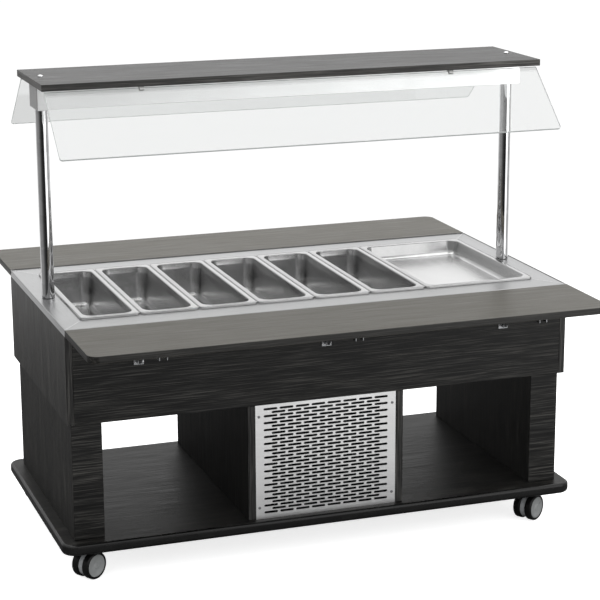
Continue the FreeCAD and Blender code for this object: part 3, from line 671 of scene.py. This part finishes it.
def pressedPan(node, body, shoulder):
    low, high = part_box(node)
    middle = (low + high) / 2
    halfX, halfY = (high.x - low.x) / 2, (high.y - low.y) / 2
    rimTop, bottom, sheet = high.z, low.z + pans["sheet"], pans["sheet"]
    mouth, roll, turn = pans["rimWidth"], pans["rimRoll"], pans["mouthRound"]
    rimUnder = rimTop - pans["rimHeight"]

    # inset and height: from the bottom up the inside, over the rim and down the outside
    wall = mouth + turn * pans["wallSet"]
    base = wall + pans["draft"]
    foot, edgeSteps = pans["bottomRound"], pans["edgeSteps"]
    footArc = edgeArc(foot, pans["footSteps"])
    rings = [(base + inset, bottom + rise) for inset, rise in footArc]
    if shoulder:
        shoulderZ = rimTop - pans["shoulderDrop"]
        leaned = wall + pans["draft"] * pans["shoulderDrop"] / (rimTop - bottom)
        rings.append((leaned + pans["shoulderStep"], shoulderZ - pans["shoulderRise"]))
        rings.append((leaned, shoulderZ))
    rings += [(wall - inset, rimTop - rise) for inset, rise in reversed(edgeArc(turn, edgeSteps))]
    rings.append((roll * pans["flatStart"], rimTop))
    rings += [(inset, rimTop - rise) for inset, rise in reversed(edgeArc(roll, edgeSteps))]
    under, (outerPart, innerPart) = rimTop - sheet, pans["underFlat"]
    rings += [(0.0, rimUnder), (sheet, rimUnder), (sheet, rimTop - roll), (roll * outerPart, under),
              (wall - turn * innerPart - sheet, under), (wall - sheet, under - turn),
              (base - sheet, bottom + foot)]
    rings += [(base + inset - sheet, bottom + rise - sheet) for inset, rise in footArc[-2::-1]]

    def corner(inset):
        if inset <= mouth * pans["rimPart"]:
            return max(pans["rimCorner"] - inset, pans["leastRimCorner"])
        return max(pans["mouthCorner"] - (inset - mouth), pans["leastMouthCorner"])

    built = bmesh.new()
    loops = []
    for inset, z in rings:
        points = roundedLoop(halfX - inset, halfY - inset, [corner(inset)] * 4, pans["steps"])
        loops.append(ring(built, [(middle.x + x, middle.y + y, z) for x, y in points]))
    skin(built, loops, pick=lambda face: int(face.calc_center_median().z > rimUnder))
    evenNormals(finishPiece(node + "_pressed", built, [panSteel, rimShadedSteel], (node,),
                            50, body))


for number in range(1, 7):
    pressedPan("pan_%d" % number, "serving_pan_%d" % number, True)
pressedPan("tray", "serving_tray", False)
print("pans made")


# canopy: chrome posts, lit steel box and sloping panes

canopy = {
    "postWall": 0.0015,
    "postEdge": 0.0006,
    "postSides": 64,
    "boxEdge": 0.0014,
    "leastRadius": 0.0003,
    "lampRecess": 0.012,
    "lampInset": 0.004,
    "lampGap": 0.0005,
    "lensLift": 0.0003,
    "lensEdge": 0.0012,
    "paneThickness": 0.006,
    "paneTilt": 48.5,
    "paneCorner": 0.008,
    "paneEdge": 0.0010,
    "paneFaceLimit": 0.9,
    "nut": (0.008, 0.008),
    "rodRadius": 0.004,
    "capHeight": 0.005,
    "capRadius": 0.0075,
    "capRim": 0.0008,
    "capSteps": 8,
    "capSides": 40,
    "clampEdge": 0.0008,
}


def chromePosts():
    low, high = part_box("posts")
    radius = (high.y - low.y) / 2
    height, wall, edge = high.z - low.z, canopy["postWall"], canopy["postEdge"]
    profile = [(radius - wall, 0), (radius - edge, 0), (radius, edge), (radius, height - edge),
               (radius - edge, height), (radius - wall, height), (radius - wall, 0)]
    built = bmesh.new()
    for sign in (-1, 1):
        place = Matrix.Translation((sign * (high.x - radius), 0, low.z))
        lathe(built, profile, place, canopy["postSides"])
    weld(built)
    finishPiece("chrome_posts", built, [polishedChrome], ("posts",))


def tieRodCaps():
    low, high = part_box("tie_rods")
    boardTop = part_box("canopy_board")[1].z
    rise, radius, rim = canopy["capHeight"], canopy["capRadius"], canopy["capRim"]
    rod, (nut, nutHeight) = canopy["rodRadius"], canopy["nut"]
    profile = [(0, low.z), (nut, low.z), (nut, low.z + nutHeight), (rod, low.z + nutHeight),
               (rod, boardTop), (radius, boardTop), (radius, boardTop + rim)]
    profile += [(radius * math.cos(angle), boardTop + rim + (rise - rim) * math.sin(angle))
                for angle in quarter(canopy["capSteps"])[1:-1]]
    profile.append((0, boardTop + rise))
    built = bmesh.new()
    for sign in (-1, 1):
        place = Matrix.Translation((sign * (high.x - nut), 0, 0))
        lathe(built, profile, place, canopy["capSides"])
    finishPiece("tie_rods_with_caps", built, [polishedChrome], ("tie_rods",))


def lightBox():
    low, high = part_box("light_box")
    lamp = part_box("led_light")[1]
    lampX, lampY = lamp.x - canopy["lampInset"], lamp.y - canopy["lampInset"]
    edge, gap, recess = canopy["boxEdge"], canopy["lampGap"], canopy["lampRecess"]
    built = bmesh.new()

    def loop(sizeX, sizeY, radius, z):
        return ring(built, [(x, y, z) for x, y in roundedLoop(sizeX, sizeY, [radius] * 4, 3)])

    def shell(inset, z):
        return loop(high.x - inset, high.y - inset, max(edge - inset, canopy["leastRadius"]), z)

    rings = [loop(lampX, lampY, gap, low.z + recess), loop(lampX, lampY, gap, low.z)]
    arc = edgeArc(edge, 3)
    rings += [shell(inset, low.z + rise) for inset, rise in arc]
    rings += [shell(inset, high.z - rise) for inset, rise in reversed(arc)]
    skin(built, rings, pick=byNormal(1, 0, 0))
    evenNormals(finishPiece("light_box_shell", built, [satinLitX, boxEndCapShaded],
                            ("light_box",)))
    slab("lamp_lens", (gap - lampX, gap - lampY, low.z + canopy["lensLift"]),
         (lampX - gap, lampY - gap, low.z + recess - gap), "Z", canopy["lensEdge"], [opalLens],
         "opal_plastic", ("led_light",))


def slopingPane(side, sign):
    node = "glass_" + side
    low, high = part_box(node)
    tilt = math.radians(canopy["paneTilt"])
    thickness = canopy["paneThickness"]
    width = ((high.y - low.y) - thickness * math.cos(tilt)) / math.sin(tilt)
    length = high.x - low.x
    middle = (low + high) / 2
    corner, edge = canopy["paneCorner"], canopy["paneEdge"]
    built = bmesh.new()
    half = Vector((length / 2, width / 2, thickness / 2))
    rings = slabInto(built, -half, half, "Z", edge, corners=(corner, corner, edge, edge), steps=6)
    skin(built, rings, pick=lambda face: int(abs(face.normal.z) <= canopy["paneFaceLimit"]))
    turn = Matrix.Rotation(tilt - math.pi / 2, 4, "X")
    if sign < 0:
        turn = Matrix.Rotation(math.pi, 4, "Z") @ turn
    built.transform(Matrix.Translation(middle) @ turn)
    evenNormals(finishPiece("pane_" + side, built, [paneGlass, groundEdge], (node,)))


chromePosts()
tieRodCaps()
lightBox()
slopingPane("rear", 1)
slopingPane("front", -1)
softened("pane_clamps", "glass_clamps", canopy["clampEdge"], [clampPaintedLight])
print("canopy made")


# perforated panels, cut as flat outlines and given their thickness

panels = {
    "sheet": 0.0015,
    "edge": 0.00025,
    "slot": (0.039, 0.0064),
    "pitch": (0.0455, 0.00975),
    "rows": 31,
    "rowCount": 8,
    "topMargin": 0.009,
    "vent": (0.082, 0.0056),
    "ventPitch": 0.091,
    "ventColumns": 4,
    "ventRows": 10,
    "ventBottom": 0.112,
    "returnDepth": 0.015,
    "thermostatHole": (0.0357, 0.0147),
    "switchHole": (0.0097, 0.0127),
    "glandHole": 0.0082,
    "glandSides": 32,
    "screwInset": (0.010, 0.032),
    "screw": (0.0040, 0.0012),
    "screwSunk": 0.0002,
    "shadeSheet": (0.0020, 0.0060),
    "slotSteps": 6,
}


def slotOutline(x, z, length, height):
    radius = height / 2
    reach = length / 2 - radius
    points = []
    for start, centre in ((-90, reach), (90, -reach)):
        for step in range(panels["slotSteps"] + 1):
            angle = math.radians(start + 180 * step / panels["slotSteps"])
            points.append((x + centre + radius * math.cos(angle), z + radius * math.sin(angle)))
    return points


def flatSheet(name, outlines, thickness):
    curve = bpy.data.curves.new(name, "CURVE")
    curve.dimensions = "2D"
    curve.fill_mode = "BOTH"
    curve.extrude = thickness / 2
    for outline in outlines:
        spline = curve.splines.new("POLY")
        spline.points.add(len(outline) - 1)
        for point, (x, z) in zip(spline.points, outline):
            point.co = (x, z, 0, 1)
        spline.use_cyclic_u = True
    holder = bpy.data.objects.new(name, curve)
    mesh = bpy.data.meshes.new_from_object(holder)
    built = bmesh.new()
    built.from_mesh(mesh)
    weld(built)
    bpy.data.batch_remove((holder, curve, mesh))
    return built


def rectangle(x0, x1, z0, z1):
    return [(x0, z0), (x1, z0), (x1, z1), (x0, z1)]


def upright(y):  # stands a flat outline up at one depth
    return Matrix(((1, 0, 0, 0), (0, 0, -1, y), (0, 1, 0, 0), (0, 0, 0, 1)))


crossHead = {"sides": 32, "rings": 7, "dome": 0.92, "width": 0.17, "reach": 0.62, "depth": 0.55,
             "middle": 0.4}


def screwHead(built, place, direction, radius=0.0032, rise=0.0016):
    matrix = aimed(place, direction)
    sides, rings = crossHead["sides"], crossHead["rings"]
    width, reach = radius * crossHead["width"], radius * crossHead["reach"]
    centre = built.verts.new(matrix @ Vector((0, 0, rise * crossHead["middle"])))
    loops = []
    for step in range(1, rings + 1):
        share = step / rings
        top = rise * math.sqrt(1 - (crossHead["dome"] * share) ** 2)
        row = []
        for x, y in roundPoints(radius * share, sides):
            near, far = sorted((abs(x), abs(y)))
            sunk = rise * crossHead["depth"] if near < width and far < reach else 0.0
            row.append(matrix @ Vector((x, y, top - sunk)))
        loops.append(ring(built, row))
    loops.append(ring(built, [matrix @ Vector((x, y, 0)) for x, y in roundPoints(radius, sides)]))
    for s in range(sides):
        built.faces.new((centre, loops[0][s], loops[0][(s + 1) % sides]))
    skin(built, loops, capFirst=False)


def perforatedPanel(name, node, slots, faceSign, material):
    low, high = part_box(node)
    sheet = panels["sheet"]
    outlines = [rectangle(low.x, high.x, low.z, high.z)] + slots
    built = flatSheet(name, outlines, sheet)
    faceY = high.y if faceSign > 0 else low.y
    built.transform(upright(faceY - faceSign * sheet / 2))
    near, far = sorted((faceY - faceSign * sheet, faceY - faceSign * panels["returnDepth"]))
    for x0, x1 in ((low.x, low.x + sheet), (high.x - sheet, high.x)):
        skin(built, slabInto(built, (x0, near, low.z), (x1, far, high.z), "X", panels["edge"],
                             steps=1, edgeSteps=1))
    finishPiece(name, built, [material], (node,), 30)
    screws = bmesh.new()
    insetX, insetZ = panels["screwInset"]
    seat = faceY - faceSign * panels["screwSunk"]
    for x in (low.x + insetX, high.x - insetX):
        for z in (low.z + insetZ, high.z - insetZ):
            screwHead(screws, (x, seat, z), (0, faceSign, 0), *panels["screw"])
    finishPiece(name + "_screws", screws, [shadedZincPlate], sharp=30)


def slotRow(count, pitch, z, size):
    return [slotOutline((column - (count - 1) / 2) * pitch, z, *size) for column in range(count)]


def grille():
    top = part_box("front_grille")[1].z - panels["topMargin"] - panels["slot"][1] / 2
    (pitch, rowPitch), slots = panels["pitch"], []
    for row in range(panels["rows"]):
        slots += slotRow(panels["rowCount"] - row % 2, pitch, top - row * rowPitch, panels["slot"])
    perforatedPanel("slotted_grille", "front_grille", slots, -1, grilleLitSteel)


def servicePanel():
    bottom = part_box("service_panel")[0].z + panels["ventBottom"]
    holes = []
    for row in range(panels["ventRows"]):
        holes += slotRow(panels["ventColumns"], panels["ventPitch"],
                         bottom + row * panels["pitch"][1], panels["vent"])
    for node in ("thermostat", "rocker_power", "rocker_light"):
        x, z = centreOf(node).xz
        halfX, halfZ = panels["thermostatHole"] if node == "thermostat" else panels["switchHole"]
        holes.append(rectangle(x - halfX, x + halfX, z - halfZ, z + halfZ))
    gland, circle = centreOf("cable_gland"), roundPoints(panels["glandHole"], panels["glandSides"])
    holes.append([(gland.x + x, gland.z + z) for x, z in circle])
    perforatedPanel("vented_service_panel", "service_panel", holes, 1, shadedSteelX)


def coilShadeSheet():  # a black sheet behind the grille, open where the coil stands: painted shade that darkens the slots
    low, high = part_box("front_grille")
    coilLow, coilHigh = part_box("condenser")
    thickness, setback = panels["shadeSheet"]
    outline = [(low.x, low.z), (coilLow.x, low.z), (coilLow.x, coilHigh.z),
               (coilHigh.x, coilHigh.z), (coilHigh.x, low.z), (high.x, low.z), (high.x, high.z),
               (low.x, high.z)]
    built = flatSheet("coil_shade_sheet", [outline], thickness)
    built.transform(upright(coilHigh.y - setback))
    finishPiece("coil_shade_sheet", built, [blackPlastic])


grille()
servicePanel()
coilShadeSheet()
print("panels made")


# castors: two tyres with grey hub discs beside a grey horn

castor = {
    "radius": 0.0375,
    "width": 0.021,
    "hubRadius": 0.0300,
    "shoulder": 0.0045,
    "roundSteps": 6,
    "bore": 0.0042,
    # share of the hub's radius, step beyond it, depth from the wheel's back or face
    "back": [(0.55, 0, 0), (0.62, 0, 0.0012), (1, 0, 0.0012), (1, 0.001, 0)],
    "face": [(1, 0.0006, 0), (1, 0.0002, 0.0010), (1, -0.0004, 0.0010), (1, -0.0012, 0.0002),
             (0.86, 0, 0.0002), (0.80, 0, 0.0012), (0.30, 0, 0.0012), (0.27, 0, 0.0003),
             (0.20, 0, 0), (0, 0, 0)],
    "sides": 56,
    "hornEdge": 0.0012,
    "plateEdge": 0.0006,
    "plateScrew": 0.022,
    "screwRise": 0.0009,
}


def wheelProfile():  # from the bore over the back and the tread to the middle of the face
    width, hub, shoulder = castor["width"], castor["hubRadius"], castor["shoulder"]
    crown, angles = castor["radius"] - shoulder, quarter(castor["roundSteps"])
    profile = [(castor["bore"], 0.0)]
    profile += [(hub * share + step, depth) for share, step, depth in castor["back"]]
    profile += [(crown + shoulder * math.sin(angle), shoulder - shoulder * math.cos(angle))
                for angle in angles]
    profile += [(crown + shoulder * math.cos(angle), width - shoulder + shoulder * math.sin(angle))
                for angle in angles]
    tyreEnd = len(profile)
    profile += [(hub * share + step, width - depth) for share, step, depth in castor["face"]]
    return profile, [0] * (tyreEnd + 1) + [1] * (len(profile) - tyreEnd - 2)


def castorWheels():
    profile, finishes = wheelProfile()
    for name in castorNames:
        for side in "ab":
            label = name + "_" + side
            node, joint = "castor_wheel_" + label, joints["wheel_%s_spin" % label]
            axle = Vector(joint["pos_m"])
            outward = Vector(joint["axis"]).normalized()
            reach = (centreOf(node) - axle).dot(outward)
            if reach < 0:
                outward, reach = -outward, -reach
            start = axle + outward * (reach - castor["width"] / 2)
            built = bmesh.new()
            lathe(built, profile, aimed(start, outward), castor["sides"], finishes)
            finishPiece("wheel_%s_dressed" % label, built, [tyreRubber, hubDisc],
                        (node,), 40, joint["child"])


def castorScrews():
    plateZ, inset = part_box("castor_plates")[0].z, castor["plateScrew"]
    built = bmesh.new()
    for name in castorNames:
        stem = joints["castor_%s_swivel" % name]["pos_m"]
        for x in (-inset, inset):
            for y in (-inset, inset):
                screwHead(built, (stem[0] + x, stem[1] + y, plateZ), (0, 0, -1),
                          rise=castor["screwRise"])
    finishPiece("castor_plate_screws", built, [screwSteel], sharp=30)


castorWheels()
for name in castorNames:
    softened("horn_%s_moulded" % name, "castor_horn_" + name, castor["hornEdge"], [castorGrey])
castorScrews()
softened("castor_top_plates", "castor_plates", castor["plateEdge"], [shadedZincPlate])
print("castors made")


# folding brackets under the shelves

brackets = {
    "edge": 0.0004,
    "endInset": 0.193,
    "plateScrew": (0.0096, 0.073),
    "plateFront": 0.0025,
    "plateScrewRise": 0.0008,
    "hingeOut": 0.012,
    "hingeBelow": 0.012,
    "linkDrop": 0.068,
    "cheekFace": 0.0135,
    "earFace": 0.006,
    "armScrews": (0.035, 0.130, 0.205),
    "armWeb": 0.0025,
    "rivet": (0.0040, 0.0012),
    "rivetSteps": 5,
    "rivetSides": 24,
}


def rivetHead(built, place, direction):
    radius, rise = brackets["rivet"]
    angles = quarter(brackets["rivetSteps"])[:-1]
    dome = [(radius * math.cos(angle), rise * math.sin(angle)) for angle in angles]
    lathe(built, [(0, 0)] + dome + [(0, rise)], aimed(place, direction), brackets["rivetSides"])


def bracketFasteners():
    shelfLow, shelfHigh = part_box("shelf_front")
    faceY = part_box("apron_front")[0].y
    reach = shelfHigh.x - brackets["endInset"]
    hingeY, hingeZ = faceY - brackets["hingeOut"], shelfLow.z - brackets["hingeBelow"]
    plateY, webZ = faceY - brackets["plateFront"], shelfLow.z - brackets["armWeb"]
    aside, drop = brackets["plateScrew"]
    rivets = ((brackets["cheekFace"], hingeZ), (brackets["earFace"], hingeZ - brackets["linkDrop"]))
    fixed, onShelf = bmesh.new(), {1: bmesh.new(), -1: bmesh.new()}
    for sign in (1, -1):  # 1 is the front, -1 the rear
        for x in (-reach, 0, reach):
            for side in (-1, 1):
                screwHead(fixed, (x + side * aside, sign * plateY, hingeZ - drop), (0, -sign, 0),
                          rise=brackets["plateScrewRise"])
                for out, z in rivets:
                    rivetHead(fixed, (x + side * out, sign * hingeY, z), (side, 0, 0))
            for out in brackets["armScrews"]:
                screwHead(onShelf[sign], (x, sign * (hingeY - out), webZ), (0, 0, -1))
    for name, built, body in (("bracket_screws_and_rivets", fixed, "cabinet"),
                              ("front_arm_screws", onShelf[1], "front_shelf"),
                              ("rear_arm_screws", onShelf[-1], "rear_shelf")):
        finishPiece(name, built, [screwSteel], sharp=30, body=body)


bracketFasteners()
for node, label in (("bracket_plates", "bracket_wall_plates"),
                    ("shelf_arms_front", "front_arm_channels"),
                    ("shelf_arms_rear", "rear_arm_channels"),
                    ("links_front", "front_bracket_links"),
                    ("links_rear", "rear_bracket_links")):
    softened(label, node, brackets["edge"], [shadedZincPlate], segments=1)
print("brackets made")


# controls and cooling machine

controls = {
    "edge": 0.0008,
    "switchEdge": 0.0004,
    "sunk": 0.0002,
    "window": (0.040, 0.020),
    "windowShift": -0.012,
    "windowEdge": 0.0004,
    "proud": 0.0006,
    "digit": (0.0075, 0.0130, 0.0014),
    "digitGap": 0.0045,
    "digitProud": 0.0002,
    "digitEdge": 0.0001,
    "shown": ("0", "4"),
    "button": (0.0070, 0.0070, 0.0012, 0.0005),
    "buttonShift": 0.024,
    "buttonStep": 0.0095,
}
litBars = {"0": "abcdef", "4": "bcfg"}


def thermostatFace():
    centre = centreOf("thermostat")
    centre.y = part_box("thermostat")[1].y

    def block(built, x, z, width, height, depth, edge):  # x to the right as seen from behind
        place = centre + Vector((-x, 0, z))
        low = place - Vector((width / 2, controls["sunk"], height / 2))
        high = place + Vector((width / 2, depth, height / 2))
        skin(built, slabInto(built, low, high, "Y", edge, edgeSteps=2))

    window, digits, buttons = bmesh.new(), bmesh.new(), bmesh.new()
    shift, proud = controls["windowShift"], controls["proud"]
    block(window, shift, 0, *controls["window"], proud, controls["windowEdge"])
    finishPiece("thermostat_window", window, [displayWindow])
    width, height, bar = controls["digit"]
    right, up = width / 2, height / 4
    spots = {"a": (0, height / 2), "g": (0, 0), "d": (0, -height / 2), "f": (-right, up),
             "b": (right, up), "e": (-right, -up), "c": (right, -up)}
    for place, digit in enumerate(controls["shown"]):
        left = shift + (place - 0.5) * (width + controls["digitGap"])
        for key in litBars[digit]:
            x, z = spots[key]
            size = (width - bar, bar) if key in "agd" else (bar, height / 2 - bar)
            block(digits, left + x, z, *size, proud + controls["digitProud"], controls["digitEdge"])
    finishPiece("thermostat_digits", digits, [displaySegment])
    step = controls["buttonStep"]
    for column in (-0.5, 0.5):
        for row in (-0.5, 0.5):
            block(buttons, controls["buttonShift"] + column * step, row * step, *controls["button"])
    finishPiece("thermostat_buttons", buttons, [castorGrey])


thermostatFace()
softened("thermostat_case", "thermostat", controls["edge"], [blackPlastic])
switchEdge = controls["switchEdge"]
softened("switch_bezels", "switch_frames", switchEdge, [blackPlastic])
softened("power_rocker_key", "rocker_power", switchEdge, [rockerGreen])
softened("light_rocker_key", "rocker_light", switchEdge, [rockerBlack])
dressNode("cable_gland", blackPlastic)
dressNode("condenser", finShadedMetal)
dressNode("fan_rotor", blackPlastic)
dressNode("fan_motor", blackEnamel)
dressNode("compressor", blackEnamel)
print("controls and machine made")


# floor, light and camera

studio = {
    "floorSize": 7.0,
    "floorTone": 0.93,
    "floorBounce": [(-0.9, 0.45), (-0.2, 0.09)],
    "floorThroughGlass": 0.62,
    "floorLift": 0.75,
    "floorFade": (2.2, 3.2),
    "ambient": 1.05,
    "throughGlass": 0.84,
    # compass angle in degrees and brightness
    "mirrored": [(-180, 0.25), (-160, 0.18), (-140, 0.07), (-125, 0.03), (-100, 0.012), (-86, 0.02),
                 (-78, 0.20), (-71, 0.36), (-32, 0.36), (0, 0.50), (28, 0.80), (50, 1.30),
                 (84, 1.30), (98, 0.85), (118, 0.65), (155, 0.25), (180, 0.25)],
    "lowScreen": [(-180, 0.0), (-86, 0.0), (-78, 0.50), (-71, 1.80), (-50, 1.80), (-32, 0.0),
                  (180, 0.0)],
    "lowScreenTop": (0.05, 0.20),
    "overheadGlow": 1.15,
    "overheadRise": (0.15, 0.70),
    "overhead": {"size": (4.0, 3.0), "place": (0.3, 0.6, 3.6), "power": 45.0},
    "frontRight": {"size": (3.2, 2.6), "place": (2.4, -3.45, 1.6), "power": 25.0},
}
view = {
    "place": (-1.73693, -5.09451, 2.00747),
    "yaw": -0.337,
    "pitch": -0.252,
    "roll": -0.004,
    "lens": 117.46,
    "sensor": 36.0,
    "farClip": 200.0,
}


def floor():
    half = studio["floorSize"] / 2
    built = bmesh.new()
    built.faces.new(ring(built, [(x, y, 0) for x, y in rectangle(-half, half, -half, half)]))
    material, tree, shader = newMaterial("pale_floor", Roughness=0.75, Specular_IOR_Level=0.2,
                                         Emission_Color=(1, 1, 1, 1))
    grain = noise(tree, triple(0.6), 2.0)
    rays = tree.nodes.new("ShaderNodeLightPath").outputs
    tone = studio["floorTone"]
    pale = ramp(grain, [(0.3, triple(0.99 * tone)), (0.7, triple(tone))])
    metres = objectSpace(tree, triple(1))
    split = addNode(tree, "ShaderNodeSeparateXYZ", Vector=metres)
    (front, frontTone), (rear, rearTone) = studio["floorBounce"]
    bounce = spread(split.outputs["Y"], frontTone, rearTone, front, rear)
    behindGlass = (*triple(studio["floorThroughGlass"]), 1)
    dim = blendColours(tree, rays["Is Transmission Ray"], bounce, behindGlass)
    seen = blendColours(tree, rays["Is Camera Ray"], dim, pale)
    lift = spread(rays["Is Camera Ray"], 0.0, studio["floorLift"], 0.0, 1.0)
    distance = addNode(tree, "ShaderNodeVectorMath", Vector=metres)
    distance.operation = "LENGTH"
    fade = spread(distance.outputs["Value"], 1.0, 0.0, *studio["floorFade"])
    feedAll(shader, {"Base Color": seen, "Emission Strength": lift, "Alpha": fade})
    piece = newPiece("studio_floor", built, [material])


def softbox(name, size, place, power, target=(0, 0, 0.6)):
    lamp = bpy.data.lights.new(name, "AREA")
    lamp.shape = "RECTANGLE"
    lamp.size, lamp.size_y = size
    lamp.energy = power
    holder = bpy.data.objects.new(name, lamp)
    holder.matrix_world = aimed(place, Vector(place) - Vector(target))
    scene.collection.objects.link(holder)


def studioWorld():  # white to look at; polished faces mirror a darker studio with soft screens
    scene.world = bpy.data.worlds.new("studio_world")
    scene.world.use_nodes = True
    tree = scene.world.node_tree
    background = tree.nodes["Background"]
    feed((1, 1, 1, 1), background.inputs["Color"])
    coordinates = tree.nodes.new("ShaderNodeTexCoord")
    split = addNode(tree, "ShaderNodeSeparateXYZ", Vector=coordinates.outputs["Generated"])

    def maths(operation, first, second, clamp=False):
        node = tree.nodes.new("ShaderNodeMath")
        node.operation = operation
        node.use_clamp = clamp
        for socket, value in zip(node.inputs, (first, second)):
            feed(value, socket)
        return node.outputs["Value"]

    compass = maths("ARCTAN2", split.outputs["Y"], split.outputs["X"])
    place = spread(compass, 0.0, 1.0, -math.pi, math.pi)

    def around(screens):
        stops = [((angle + 180) / 360, triple(value / 2)) for angle, value in screens]
        return ramp(place, stops)

    fade = spread(split.outputs["Z"], 1.0, 0.0, *studio["lowScreenTop"])
    lowScreen = maths("MULTIPLY", around(studio["lowScreen"]), fade)
    sides = maths("MAXIMUM", around(studio["mirrored"]), lowScreen)
    height = spread(split.outputs["Z"], 0.0, studio["overheadGlow"] / 2, *studio["overheadRise"])
    mirrored = maths("MULTIPLY", maths("MAXIMUM", sides, height), 2.0)
    rays = tree.nodes.new("ShaderNodeLightPath").outputs
    through = rays["Is Transmission Ray"]
    plain = spread(through, studio["ambient"], studio["throughGlass"], 0.0, 1.0)
    share = maths("SUBTRACT", rays["Is Glossy Ray"], through, True)
    strength = tree.nodes.new("ShaderNodeMix")
    strength.data_type = "FLOAT"
    for index, value in zip((0, 2, 3), (share, plain, mirrored)):
        feed(value, strength.inputs[index])
    feed(strength.outputs[0], background.inputs["Strength"])


def camera():
    data = bpy.data.cameras.new("photo_view")
    data.lens = view["lens"]
    data.sensor_width = view["sensor"]
    data.clip_end = view["farClip"]
    holder = bpy.data.objects.new("photo_view", data)
    yaw, roll = (Matrix.Rotation(view[key], 4, "Z") for key in ("yaw", "roll"))
    pitch = Matrix.Rotation(math.pi / 2 + view["pitch"], 4, "X")
    holder.matrix_world = Matrix.Translation(view["place"]) @ yaw @ pitch @ roll
    scene.collection.objects.link(holder)
    scene.camera = holder


floor()
studioWorld()
softbox("overhead_softbox", **studio["overhead"])
softbox("front_right_softbox", **studio["frontRight"])
camera()
scene.view_settings.view_transform = "Standard"
print("studio made")
